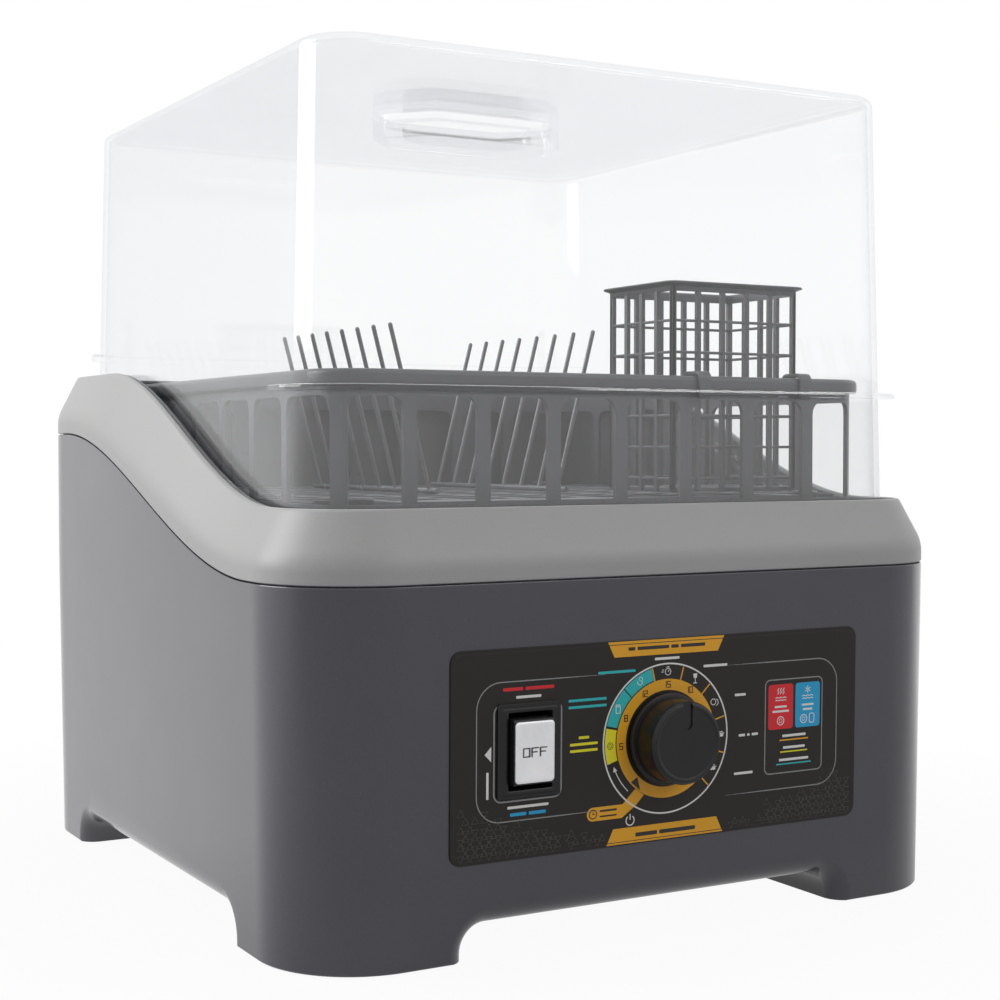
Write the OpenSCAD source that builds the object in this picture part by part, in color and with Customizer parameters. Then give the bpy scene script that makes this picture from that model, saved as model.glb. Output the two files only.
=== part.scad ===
// Countertop dishwasher: a compact floor-standing base with a lift-off clear cover.
// Frame: origin on the ground under the middle of the footprint, front faces -Y, +Z up.

/* [Base casing] */
// Width of the base at the seam
body_w = 400; // [380:1:420]
// Depth of the base at the seam
body_d = 430; // [410:1:450]
// Radius of the four upright corners
corner_r = 54; // [48:1:58]
// How far each wall leans in from the seam down to the ground
draft = 2.2; // [0:0.1:3]
// Wall of the base casing
wall = 3; // [2.5:0.1:3.5]
// Height of the seam with the trim ring at the front
seam_z = 181; // [175:1:190]
// Rise of the seam from the front to the back
seam_rise = 72; // [60:1:76]
// Where the seam starts to rise
seam_start = -150; // [-160:1:-140]
// Where the seam has risen
seam_end = 150; // [145:1:155]
// Clear height of the arches between the feet
arch_h = 17; // [16:0.5:20]
// Half of the clear width of the front and rear arches
arch_front = 113; // [108:1:116]
// Half of the clear width of the side arches
arch_side = 125; // [120:1:128]
// Corner radius of the arches
arch_r = 13; // [10:1:15]
// Radius of the rolled edge round each arch
roll_r = 11; // [8:1:11]

/* [Trim ring] */
// Height of the trim crest at the front
crest_z = 216.5; // [214:0.5:225]
// Rise of the crest from the front to the back
crest_rise = 73; // [62:1:78]
// Where the crest has risen
crest_end = 100; // [95:1:110]
// Inset of the trim's inner lip
trim_inset = 16; // [15:0.5:17]
// Depth of the trim's inner lip
lip_h = 7; // [6:0.5:8]
// Height of the upright band above the seam
band_h = 10; // [8:1:11]
// Open line between trim and casing
seam_gap = 0.6; // [0.4:0.1:0.8]

/* [Tub] */
// Wall of the tub
tub_t = 2.5; // [2:0.1:3]
// Height of the tub floor
tub_floor = 165; // [160:1:168]
// Depth of the lid ledge below the crest
ledge_drop = 12; // [11:0.5:13]
// Distance of the basin's side walls from the casing's sides
basin_side = 24.6; // [24:0.1:28]
// Distance of the basin's front wall from the casing's front
basin_lead = 30; // [29:0.5:33]
// Distance of the basin's rear wall from the casing's back
basin_trail = 43; // [41:0.5:47]
// Upright corner radius of the basin
basin_r = 30; // [24:1:32]
// Outer edge of the tub plate, inset from the casing
plate_inset = 11; // [10.8:0.1:11.2]

/* [Lid] */
// Height of the whole dishwasher
lid_top = 441; // [438:1:470]
// Distance of the lid's sides at its top from the casing's sides
lid_side = 25.25; // [25:0.25:30]
// Distance of the lid's front at its top from the casing's front
lid_lead = 30.5; // [30:0.25:34]
// Distance of the lid's rear at its top from the casing's back
lid_trail = 42.5; // [42:0.25:46]
// How far each side leans out per millimetre of height
lid_lean = 0.0255; // [0.02:0.0005:0.026]
// Upright corner radius of the lid at its top
lid_r = 28; // [24:1:30]
// Fillet round the lid's top
lid_fillet = 5.5; // [4:0.5:7]
// Wall of the lid
lid_t = 3; // [2.5:0.1:3.2]
// Height of the grip lip round the front
lip_z = 272; // [268:1:276]
// How far the grip lip stands out
lip_out = 9; // [6:1:10]
// Thickness of the grip lip
lip_t = 3; // [2:0.5:4]
// Length of the grip pocket in the top
pocket_w = 112; // [90:1:130]
// Width of the grip pocket
pocket_d = 54; // [44:1:64]
// Depth of the grip pocket
pocket_h = 14; // [12:1:18]
// Height of the rear flange
flange_z = 299; // [296:1:303]

/* [Racks] */
// Room between the rack's rim and each side of the basin
rack_side = 6.4; // [5.4:0.1:10.4]
// Room between the rack's rim and the front and rear of the basin
rack_end = 6.5; // [5.5:0.5:10.5]
// Height of the rack rim's top
rack_top = 283; // [280:1:288]
// Height of the rack floor
rack_floor = 215; // [213:0.5:217]
// Height of the rack rim
rim_h = 7.5; // [6:0.5:9]
// Spacing of the ribs on the front and rear of the rack
rib_pitch = 41; // [38:1:44]
// Spacing of the ribs on the sides of the rack
side_pitch = 29; // [27:1:31]
// Diameter of the plate tines
tine_dia = 2.6; // [2:0.1:3]
// Spacing of the tines
tine_pitch = 22; // [20:1:24]
// Number of tines in a row
tine_n = 8; // [6:1:8]
// Distance of each tine row's foot from the middle
tine_foot = 43; // [38:1:48]
// Distance of each tine's tip from the middle
tine_tip = 68; // [60:1:74]
// Height of the tine tips
tine_top = 315; // [305:1:322]
// Width of the cutlery basket's body
basket_w = 84; // [76:1:88]
// Depth of the cutlery basket's body
basket_d = 61; // [55:1:63]
// Height of the cutlery basket's rim
basket_top = 334; // [326:1:340]
// Distance of the basket's middle from the right side of the rack
basket_side = 89; // [85:1:99]

/* [Washing] */
// Reach of the spray arm
arm_reach = 148; // [130:1:150]
// Width of the spray arm
arm_w = 34; // [28:1:36]
// Radius of the spray column's bearing surface
column_r = 13; // [12:0.5:14]
// Running clearance of shafts in their bores
run_fit = 0.05; // [0.02:0.01:0.09]
// Radius of the sump cup
sump_r = 42; // [38:1:43]
// Radius of the pump volute
volute_r = 46; // [42:1:46]
// Radius of the pump motor
motor_r = 38; // [34:1:40]
// Radius of the pump shaft
shaft_r = 4; // [3:0.5:5]
// Radius of the heater loop
heater_r = 105; // [100:1:108]
// Radius of the heater's tube
heater_tube = 3.5; // [3:0.1:4]

/* [Controls] */
// Width of the control panel
panel_w = 246; // [230:1:260]
// Height of the control panel
panel_h = 102; // [96:1:106]
// Height of the middle of the control panel
panel_z = 98.5; // [96:0.5:101]
// Thickness of the control panel
panel_t = 0.8; // [0.5:0.1:1]
// Height of the timer axis
timer_z = 99; // [97:0.5:101]
// Radius of the timer knob's grip
knob_r = 20.8; // [18:0.1:22]
// Radius of the knob's base ring
knob_base_r = 23; // [22.5:0.1:25]
// Distance of the knob's face in front of the seam
knob_out = 18.5; // [16:0.5:22]
// Radius of the timer shaft
timer_shaft_r = 3; // [2.5:0.1:3.5]
// Middle of the rocker switch across the panel
rocker_x = -80.5; // [-84:0.5:-78]
// Width of the rocker's frame
rocker_w = 35; // [32:1:38]
// Height of the rocker's frame
rocker_h = 46; // [44:1:48]
// Width of the rocker's button
button_w = 22.5; // [20:0.5:24]
// Height of the rocker's button
button_h = 32; // [28:1:32]

/* [Connections] */
// Distance of the water inlet from the casing's left side
inlet_side = 70; // [66:1:80]
// Height of the water inlet
inlet_z = 54; // [50:1:60]
// Radius over the inlet's thread
inlet_r = 13.22; // [13.1:0.01:13.3]
// How far the connections stand out behind
spigot_out = 18.5; // [16:0.5:22]
// Distance of the drain outlet from the casing's right side
drain_side = 67; // [64:1:72]
// Height of the drain outlet
drain_z = 70; // [66:1:76]
// Radius of the drain spigot
drain_r = 9.5; // [8:0.1:10]
// Distance of the cord gland from the middle
gland_x = 90; // [80:1:96]
// Height of the cord gland
gland_z = 50; // [46:1:56]
// Radius of the cord gland's bore
gland_bore = 4; // [3.5:0.1:4.5]

/* [Hidden] */
$fn = 64;

// Places that follow the casing
front_y = -body_d/2;
back_y = body_d/2;
basin_x = body_w/2 - basin_side;
basin_front = front_y + basin_lead;
basin_rear = back_y - basin_trail;
lid_w = body_w - 2*lid_side;
lid_d = body_d - lid_lead - lid_trail;
lid_y = (lid_lead - lid_trail)/2;
rack_w = 2*(basin_x - rack_side);
rack_d = basin_rear - basin_front - 2*rack_end;
inlet_x = inlet_side - body_w/2;
drain_x = body_w/2 - drain_side;
flat_x = body_w/2 - corner_r;
flat_y = body_d/2 - corner_r;

// Small sizes shared by several pieces
ground_gap = 1;
soft_gap = 0.3;
touch = 0.1;
grip_fit = 0.02;
corner_steps = 8;
arch_steps = 4;
roll_steps = 3;
side_steps = 24;
floor_ring_t = 7;
ring_top = arch_h + floor_ring_t;
cover_t = 2.5;
foot_floor = 6;
foot_r = 12;
pad_r = 14;
pad_t = 3.2;
pad_x = body_w/2 - 42;
pad_y = body_d/2 - 43;
open_w = 196;
open_d = 220;
cover_lap = 8;
cover_r = 21;
head_r = 2.8;
screw_r = 1.5;
screw_hole = screw_r + 0.05;
far = 600;
lid_bottom_z = 200;
seal_t = 1.7;
lid_cut = ledge_drop - seal_t - soft_gap;
basin_w = 2*basin_x;
basin_d = basin_rear - basin_front;
basin_y = (basin_rear + basin_front)/2;
rim_out = trim_inset + soft_gap;
rim_in = rim_out + tub_t;
pump_y = basin_y;
sump_x = 78;
sump_lead = 63.5;
sump_y = pump_y - sump_lead;
sump_angle = atan2(sump_y - pump_y, sump_x);
sump_dist = norm([sump_x, sump_y - pump_y]);
sump_floor_z = tub_floor - 47;
seal_h = 1.5;
float_side = 45.4;
float_trail = 57;
float_x = float_side - basin_x;
float_y = basin_rear - float_trail;
volute_top = tub_floor - tub_t - 4.5;
volute_h = 40;
volute_floor = volute_top - volute_h;
motor_top = volute_floor - 10;
motor_h = 48;
motor_floor = motor_top - motor_h;
bearing_r = 8;
shoulder_z = tub_floor + 13;
washer_t = 2;
hub_h = 23;
hub_z = shoulder_z + washer_t + soft_gap;
arm_h = 12;
cap_z = hub_z + hub_h + soft_gap;
heater_z = tub_floor + 8;
heater_sweep = 275;
tilt = atan(draft/(seam_z - ground_gap));
timer_face = front_y + wall + 4;
timer_head_r = 2.9;
rocker_z = panel_z + 1.5;
timer_screw_x = 13;
rack_y = lid_y;
rim_reach = 4;
rim_root = 0.5;
rack_wall_w = rack_w - 2*rim_reach;
rack_wall_d = rack_d - 2*rim_reach;
rack_r = 22;
rack_skin = 2.5;
rack_floor_t = 3.5;
rack_wall_z = rack_floor + rack_floor_t;
rack_rim_z = rack_top - rim_h;
tine_y = rack_y + 43.5;
basket_x = rack_w/2 - basket_side;
basket_lead = 43.5;
basket_y = rack_y - rack_d/2 + basket_lead;
basket_base = rack_floor + 6;
basket_floor_t = 2.5;
basket_skin = 2.5;
basket_rod = 3;
basket_wire = 1.6;
basket_band = 5;
basket_flare = 4.5;
x_bays = 5;
y_bays = 4;
ring_inset = 0.4;
ring_pitch = 17;
drain_pump_z = tub_floor - 31;
drain_pump_x = sump_x + sump_r + tub_t + 3.5;
hose_r = 10;
hose_bore = 7.5;
inlet_hose_r = 8;
inlet_hose_bore = 6;
inlet_hose_y = back_y - 22;
fill_z = tub_floor + 24;

// Eased step from 0 to 1
function ease(t) = let(u = min(max(t, 0), 1)) u*u*(3 - 2*u);
// Height of the seam and of the trim crest at a depth y
function seam(y) = seam_z + seam_rise*ease((y - seam_start)/(seam_end - seam_start));
function crest(y) = crest_z + crest_rise*ease((y - seam_start)/(crest_end - seam_start));

// Outline of a rounded rectangle, anticlockwise, with its left and right sides in equal steps
function outline(w, d, r, oy = 0, steps = 1) = [
    for (c = [[1, 1, 0], [-1, 1, 90], [-1, -1, 180], [1, -1, 270]])
        let(cx = c[0]*(w/2 - r), cy = c[1]*(d/2 - r), side = c[0] != c[1])
        each concat(
            [for (i = [0:corner_steps])
                let(a = c[2] + 90*i/corner_steps) [cx + r*cos(a), oy + cy + r*sin(a)]],
            side ? [for (i = [1:1:steps - 1]) [c[0]*w/2, oy + cy - 2*cy*i/steps]] : [])
];

// Triangles between closed rings of n points; the last ring joins the first if closed
function bands(rings, n, closed) = [
    for (k = [0:rings - (closed ? 1 : 2)]) for (i = [0:n - 1])
        let(a = k*n + i, b = k*n + (i + 1)%n, c = ((k + 1)%rings)*n + (i + 1)%n, d = ((k + 1)%rings)*n + i)
        each [[a, c, b], [a, d, c]]
];

// Solid through a stack of rounded rectangles, each [w, d, r, z]
module stack(levels, oy = 0) {
    rings = [for (l = levels) [for (p = outline(l[0], l[1], l[2], oy)) [p[0], p[1], l[3]]]];
    n = len(rings[0]);
    k = len(rings);
    polyhedron(
        points = [for (r = rings) each r],
        faces = concat(
            bands(k, n, false),
            [[for (i = [0:n - 1]) i]],
            [[for (i = [n - 1:-1:0]) (k - 1)*n + i]]),
        convexity = 6);
}

// Flat rounded rectangle, and a straight prism of it
module rounded(w, d, r) {
    square([w - 2*r, d], center = true);
    square([w, d - 2*r], center = true);
    for (x = [-1, 1]) for (y = [-1, 1])
        translate([x*(w/2 - r), y*(d/2 - r)]) circle(r);
}
module prism(w, d, r, z0, z1, oy = 0) {
    translate([0, oy, z0]) linear_extrude(z1 - z0) rounded(w, d, r);
}

// Everything below the crest line moved by dz, or below the seam line
module below_crest(dz) {
    steps = [for (i = [0:side_steps]) seam_start + (crest_end - seam_start)*i/side_steps];
    translate([-far/2, 0, 0]) rotate([90, 0, 90]) linear_extrude(far)
        polygon(concat(
            [[far/2, 0], [far/2, crest(far) + dz]],
            [for (i = [side_steps:-1:0]) [steps[i], crest(steps[i]) + dz]],
            [[-far/2, crest_z + dz], [-far/2, 0]]));
}
module above_seam() {
    steps = [for (i = [0:side_steps]) seam_start + (seam_end - seam_start)*i/side_steps];
    translate([-far/2, 0, 0]) rotate([90, 0, 90]) linear_extrude(far)
        polygon(concat(
            [[far/2, far], [-far/2, far], [-far/2, seam_z]],
            [for (y = steps) [y, seam(y)]],
            [[far/2, seam(far)]]));
}

// Cylinders along each axis
module along_y(r, y0, y1, x, z) { translate([x, y1, z]) rotate([90, 0, 0]) cylinder(r = r, h = y1 - y0); }
module along_x(r, x0, x1, y, z) { translate([x0, y, z]) rotate([0, 90, 0]) cylinder(r = r, h = x1 - x0); }
module along_z(r, z0, z1, x = 0, y = 0) { translate([x, y, z0]) cylinder(r = r, h = z1 - z0); }
module block(x0, x1, y0, y1, z0, z1) { translate([x0, y0, z0]) cube([x1 - x0, y1 - y0, z1 - z0]); }

// A round bar from point a to point b
module bar(a, b, r) {
    v = b - a;
    translate(a) rotate([0, acos(v[2]/norm(v)), atan2(v[1], v[0])]) cylinder(r = r, h = norm(v), $fn = 16);
}
// A pipe through a list of points with ball corners
module pipe(points, r) {
    for (i = [0:len(points) - 2]) bar(points[i], points[i + 1], r);
    for (i = [1:1:len(points) - 2]) translate(points[i]) sphere(r, $fn = 24);
}

// Places of the tub screws: front, rear and sides, all on level stretches of the plate
screw_inset = plate_inset + 2.6;
tub_screw_spots = [
    for (x = [-95, 95]) each [[x, front_y + screw_inset, 0], [x, back_y - screw_inset, 0]],
    for (s = [-1, 1]) [s*(body_w/2 - screw_inset), crest_end + 25, s]];
function plate_z(p) = crest(p[1]) - ledge_drop - tub_t;
cover_screw_spots = concat(
    [for (x = [-1, 1]) for (y = [-1, 0, 1])
        [x*(open_w + cover_lap)/2, y*(open_d/2 + cover_lap - cover_r - 1)]],
    [for (y = [-1, 1]) [0, y*(open_d + cover_lap)/2]]);

// ---- casing ----

// Arch opening seen from its end: a flat-roofed tunnel of half width hw, grown by e
function arch_points(hw, e) = concat(
    [[hw + e, -1]],
    [for (i = [0:arch_steps]) let(a = 90*i/arch_steps)
        [hw - arch_r + (arch_r + e)*cos(a), arch_h - arch_r + (arch_r + e)*sin(a)]],
    [for (i = [0:arch_steps]) let(a = 90 + 90*i/arch_steps)
        [-(hw - arch_r) + (arch_r + e)*cos(a), arch_h - arch_r + (arch_r + e)*sin(a)]],
    [[-hw - e, -1]]);
// Tunnel along Y whose mouths open out in a quarter round
module arch(hw, length) {
    depth = [for (i = [0:roll_steps]) let(a = 90*i/roll_steps) [roll_r*sin(a), roll_r*(1 - cos(a))]];
    half = length/2 - draft - roll_r;
    stops = concat(
        [[-half - roll_r - 4, roll_r]],
        [for (i = [roll_steps:-1:0]) [-half - depth[i][0], depth[i][1]]],
        [for (i = [0:roll_steps]) [half + depth[i][0], depth[i][1]]],
        [[half + roll_r + 4, roll_r]]);
    rings = [for (s = stops) [for (p = arch_points(hw, s[1])) [p[0], -s[0], p[1]]]];
    n = len(rings[0]);
    polyhedron(
        points = [for (r = rings) each r],
        faces = concat(
            bands(len(rings), n, false),
            [[for (i = [0:n - 1]) i]],
            [[for (i = [n - 1:-1:0]) (len(rings) - 1)*n + i]]),
        convexity = 6);
}

// Upright post behind the wall that a tub screw goes into, between insets a and b from the casing
module post_part(p, a, b, z0, z1) {
    half = 6;
    side = p[2];
    if (side == 0) {
        s = sign(p[1]);
        block(p[0] - half, p[0] + half, min(s*(back_y - a), s*(back_y - b)),
            max(s*(back_y - a), s*(back_y - b)), z0, z1);
    } else {
        e = body_w/2;
        block(min(side*(e - a), side*(e - b)), max(side*(e - a), side*(e - b)), p[1] - half, p[1] + half,
            z0, z1);
    }
}
module housing_post(p) {
    low = seam(p[1]) - 9;
    reach = plate_inset + 5.5;
    post_part(p, wall - 1, reach, low - 45, low);
    post_part(p, reach - 7, reach, low - 1, plate_z(p));
}

// The casing is one moulding, drawn as three nodes that meet face to face: its four walls, the four
// arms of its floor, and its corners with the feet
module casing_moulding() difference() {
    union() {
        difference() {
            stack([
                [body_w - 2*draft, body_d - 2*draft, corner_r - draft, ground_gap],
                [body_w, body_d, corner_r, seam_z],
                [body_w, body_d, corner_r, seam_z + seam_rise + 8]]);
            stack([
                [body_w - 2*draft - 2*wall, body_d - 2*draft - 2*wall, corner_r - draft - wall, ring_top],
                [body_w - 2*wall, body_d - 2*wall, corner_r - wall, seam_z],
                [body_w - 2*wall, body_d - 2*wall, corner_r - wall, seam_z + seam_rise + 9]]);
            above_seam();
        }
        for (p = tub_screw_spots) housing_post(p);
        // flat seats for the timer inside and the connections outside
        along_y(27, front_y + wall - 1.5, timer_face, 0, timer_z);
        for (c = [[inlet_x, inlet_z, 22], [drain_x, drain_z, 18], [gland_x, gland_z, 16]])
            along_y(c[2], back_y - wall - draft - 0.5, back_y, c[0], c[1]);
    }
    // arches
    arch(arch_front, body_d);
    rotate([0, 0, 90]) arch(arch_side, body_w);
    // hollow feet
    for (x = [-1, 1]) for (y = [-1, 1]) {
        x0 = arch_front + floor_ring_t;
        x1 = body_w/2 - draft - wall;
        y0 = arch_side + floor_ring_t;
        y1 = body_d/2 - draft - wall;
        translate([x*(x0 + x1)/2, y*(y0 + y1)/2, foot_floor])
            intersection() {
                linear_extrude(ring_top) rounded(x1 - x0, y1 - y0, foot_r);
                translate([-x*(x0 + x1)/2, -y*(y0 + y1)/2, 0])
                    linear_extrude(ring_top) rounded(2*x1, 2*y1, corner_r - draft - wall);
            }
        along_z(pad_r + touch, 0, pad_t, x*pad_x, y*pad_y);
    }
    // access opening under the pump, closed by the bottom cover
    block(-open_w/2, open_w/2, -open_d/2, open_d/2, arch_h - 2, ring_top + 1);
    for (p = cover_screw_spots) along_z(screw_hole, arch_h - 1, ring_top - 1, p[0], p[1]);
    for (p = tub_screw_spots) along_z(screw_hole, plate_z(p) - 9, plate_z(p) + 1, p[0], p[1]);
    // timer and rocker openings in the front
    along_y(6.3, front_y - 1, timer_face + 1, 0, timer_z);
    for (x = [-1, 1]) {
        along_y(screw_hole, front_y - 1, timer_face + 1, x*timer_screw_x, timer_z);
        along_y(timer_head_r + touch, front_y - 1, front_y + 1.4 + touch, x*timer_screw_x, timer_z);
    }
    on_front(rocker_x, rocker_z) block(-rocker_w/2 + 3, rocker_w/2 - 3, -1, wall + 2,
        -rocker_h/2 + 4, rocker_h/2 - 4);
    // connections at the back
    along_y(inlet_r + 0.3, back_y - wall - 4, back_y + 1, inlet_x, inlet_z);
    along_y(drain_r + touch, back_y - wall - 4, back_y + 1, drain_x, drain_z);
    along_y(8.1, back_y - wall - 4, back_y + 1, gland_x, gland_z);
    // cooling louvres
    for (i = [0:6]) block(-45, 25, back_y - wall - 4, back_y + 1, 60 + 8*i, 63.5 + 8*i);
}

// Everything over the straight part of each side, between two heights
module straight_sides(x, y, z0, z1) {
    block(-x, x, -far/2, far/2, z0, z1);
    block(-far/2, far/2, -y, y, z0, z1);
}

module housing() color("#3c3b42") intersection() {
    casing_moulding();
    straight_sides(flat_x, flat_y, ring_top, far);
}

module casing_floor() color("#3c3b42") intersection() {
    casing_moulding();
    straight_sides(open_w/2, open_d/2, 0, ring_top);
}

module casing_corners() color("#3c3b42") difference() {
    casing_moulding();
    straight_sides(open_w/2, open_d/2, -1, ring_top);
    straight_sides(flat_x, flat_y, ring_top, far);
}

// Places its children on the front wall, -Y outward, at height z on the leaning face
module on_front(x, z) {
    translate([0, front_y, seam_z]) rotate([tilt, 0, 0]) translate([x, 0, (z - seam_z)/cos(tilt)]) children();
}

module trim_ring() color("#a9abab") {
    // each corner of the section: inset, share of the crest line, height above the line
    section = [
        [0, 0, seam_gap], [0, 0, band_h - 1], [1.2, 0, band_h + 3.5], [trim_inset - 3.8, 1, -1.6],
        [trim_inset - 2.4, 1, 0], [trim_inset - 0.8, 1, 0], [trim_inset, 1, -1], [trim_inset, 1, -lip_h],
        [trim_inset - 2.4, 1, -lip_h], [trim_inset - 3, 1, -3.4], [wall + 2, 0, band_h + 4.5],
        [wall + 2.5, 0, -8], [wall + soft_gap, 0, -8], [wall + soft_gap, 0, seam_gap]];
    rings = [for (s = section) [
        for (p = outline(body_w - 2*s[0], body_d - 2*s[0], corner_r - s[0], 0, side_steps))
            [p[0], p[1], (s[1] == 0 ? seam(p[1]) : crest(p[1])) + s[2]]]];
    polyhedron(points = [for (r = rings) each r], faces = bands(len(rings), len(rings[0]), true),
        convexity = 8);
}

module bottom_cover() color("#55555a") difference() {
    union() {
        prism(open_w + 2*cover_lap, open_d + 2*cover_lap, cover_r, arch_h - cover_t, arch_h);
        difference() {
            prism(open_w - 2, open_d - 2, 11, arch_h - touch, arch_h + 3);
            prism(open_w - 6, open_d - 6, 9, arch_h - 1, arch_h + 4);
        }
    }
    for (p = cover_screw_spots) {
        along_z(screw_hole, arch_h - 6, arch_h + 1, p[0], p[1]);
        along_z(head_r + 0.2, arch_h - 6, arch_h - cover_t + 1.8, p[0], p[1]);
    }
    for (i = [-5:5]) block(i*12 - 2, i*12 + 2, -50, 50, arch_h - 6, arch_h + 1);
}

module foot_pads() color("#1c1c1e") for (x = [-1, 1]) for (y = [-1, 1])
    along_z(pad_r, 0, pad_t, x*pad_x, y*pad_y);

module casing_screws() color("#9a9a9e") {
    // eight under the bottom cover
    for (p = cover_screw_spots) difference() {
        union() {
            along_z(screw_r, arch_h - cover_t + 1, ring_top - 2, p[0], p[1]);
            along_z(head_r, arch_h - cover_t, arch_h - cover_t + 1.7, p[0], p[1]);
        }
        along_z(1.2, arch_h - cover_t - 1, arch_h - cover_t + 0.9, p[0], p[1]);
    }
    // six through the tub's plate
    for (p = tub_screw_spots) difference() {
        union() {
            along_z(screw_r, plate_z(p) - 8, plate_z(p) + tub_t + 0.5, p[0], p[1]);
            along_z(2.4, plate_z(p) + tub_t, plate_z(p) + tub_t + 1.9, p[0], p[1]);
        }
        along_z(1.1, plate_z(p) + tub_t + 1, plate_z(p) + tub_t + 3, p[0], p[1]);
    }
    // two that hold the timer, under the knob
    for (s = [-1, 1]) let(x = s*timer_screw_x) difference() {
        union() {
            along_y(screw_r, front_y + 1, timer_face + 10, x, timer_z);
            along_y(timer_head_r, front_y - panel_t + touch, front_y + 1.4, x, timer_z);
        }
        along_y(1.2, front_y - 3, front_y + 0.4, x, timer_z);
    }
}

// ---- tub and lid ----

module tub() color("#4a4a4e") difference() {
    union() {
        // rim standing just inside the trim
        difference() {
            intersection() {
                prism(body_w - 2*rim_out, body_d - 2*rim_out, corner_r - rim_out, seam_z, far/2 + 100);
                below_crest(0);
            }
            prism(body_w - 2*rim_in, body_d - 2*rim_in, corner_r - rim_in, seam_z - 1, far);
            below_crest(-ledge_drop - 0.01);
        }
        // plate that carries the lid inside and rests on the casing's posts outside
        difference() {
            intersection() {
                prism(body_w - 2*plate_inset, body_d - 2*plate_inset, corner_r - plate_inset, seam_z,
                    far/2 + 100);
                below_crest(-ledge_drop);
            }
            prism(basin_w, basin_d, basin_r, seam_z - 1, far, basin_y);
            below_crest(-ledge_drop - tub_t);
        }
        // basin
        difference() {
            intersection() {
                prism(basin_w + 2*tub_t, basin_d + 2*tub_t, basin_r + tub_t, tub_floor - tub_t, far/2 + 100,
                    basin_y);
                below_crest(-ledge_drop - 0.5);
            }
            prism(basin_w, basin_d, basin_r, tub_floor, far, basin_y);
        }
        // guide pin of the level float
        along_z(3, tub_floor - 1, tub_floor + 27, float_x, float_y);
    }
    along_z(sump_r, tub_floor - 5, tub_floor + 5, sump_x, sump_y);
    along_z(column_r + 0.2, tub_floor - 5, tub_floor + 5, 0, pump_y);
    for (a = [0, heater_sweep]) along_z(heater_tube + 0.2 + touch, tub_floor - 5, tub_floor + 5,
        heater_r*cos(a), pump_y + heater_r*sin(a));
    along_y(inlet_hose_bore + touch, basin_rear - 5, basin_rear + tub_t + 2, inlet_x, fill_z);
    for (p = tub_screw_spots) along_z(screw_r + 0.2, plate_z(p) - 1, plate_z(p) + tub_t + 2, p[0], p[1]);
}

// Width and depth of the lid grow downward from its top
function lid_size(z, inset = 0) = let(g = 2*lid_lean*(lid_top - lid_fillet - z) - 2*inset)
    [lid_w + g, lid_d + g, lid_r + g/2, z];

// The seal lies on the ledge under the lid's edge, a little wider than its wall
module lid_seal() color("#2a2a2c") {
    outer = lid_size(crest_z + crest_rise/2, -1.6);
    inner = lid_size(crest_z + crest_rise/2, lid_t - touch);
    difference() {
        intersection() {
            prism(outer[0], outer[1], outer[2], seam_z, far, lid_y);
            below_crest(-ledge_drop + seal_t);
        }
        prism(inner[0], inner[1], inner[2], seam_z - 1, far + 1, lid_y);
        below_crest(-ledge_drop);
    }
}

module lid() color("#dfe8ee", 0.35) difference() {
    union() {
        difference() {
            stack([
                lid_size(lid_bottom_z), lid_size(lid_top - lid_fillet),
                [lid_w - 0.3*lid_fillet, lid_d - 0.3*lid_fillet, lid_r - 0.15*lid_fillet,
                    lid_top - 0.45*lid_fillet],
                [lid_w - lid_fillet, lid_d - lid_fillet, lid_r - 0.5*lid_fillet, lid_top - 0.1*lid_fillet],
                [lid_w - 2*lid_fillet, lid_d - 2*lid_fillet, lid_r - lid_fillet, lid_top]], lid_y);
            stack([
                lid_size(lid_bottom_z - 1, lid_t), lid_size(lid_top - lid_fillet, lid_t),
                [lid_w - 2*lid_t - lid_fillet, lid_d - 2*lid_t - lid_fillet, lid_r - lid_t,
                    lid_top - lid_t]], lid_y);
        }
        // grip lip round the front and both front corners
        difference() {
            s = lid_size(lip_z);
            prism(s[0] + 2*lip_out, s[1] + 2*lip_out, s[2] + lip_out, lip_z, lip_z + lip_t, lid_y);
            prism(s[0] - 2, s[1] - 2, s[2] - 1, lip_z - 1, lip_z + lip_t + 1, lid_y);
            block(-far/2, far/2, seam_start, far/2, lip_z - 1, lip_z + lip_t + 1);
        }
        // rear flange over the back of the trim
        difference() {
            s = lid_size(flange_z);
            translate([0, 4, 0])
                prism(s[0] + 8, s[1] + 8, s[2] + 4, flange_z, flange_z + 4.5, lid_y);
            prism(s[0] - 2, s[1] - 2, s[2] - 1, flange_z - 1, flange_z + 6, lid_y);
            block(-far/2, far/2, -far/2, seam_end, flange_z - 1, flange_z + 6);
        }
        // wall and floor of the grip pocket
        translate([0, lid_y, lid_top - pocket_h - lid_t])
            linear_extrude(pocket_h + lid_t - 1) octagon(pocket_w + 2*lid_t, pocket_d + 2*lid_t, 21);
    }
    translate([0, lid_y, lid_top - pocket_h])
        linear_extrude(pocket_h + 1) octagon(pocket_w, pocket_d, 20);
    below_crest(-lid_cut);
}

// Rectangle with cut corners
module octagon(w, d, c) {
    polygon([
        [w/2, -d/2 + c], [w/2, d/2 - c], [w/2 - c, d/2], [-w/2 + c, d/2],
        [-w/2, d/2 - c], [-w/2, -d/2 + c], [-w/2 + c, -d/2], [w/2 - c, -d/2]]);
}

// ---- racks ----

// Upright slot with a rounded top, cut along Y at x
module slot(width, z0, z1, depth) {
    r = 7;
    rotate([90, 0, 0]) linear_extrude(depth, center = true) {
        translate([-width/2, z0]) square([width, z1 - z0 - r]);
        translate([-width/2 + r, z0]) square([width - 2*r, z1 - z0]);
        for (s = [-1, 1]) translate([s*(width/2 - r), z1 - r]) circle(r);
    }
}

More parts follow.
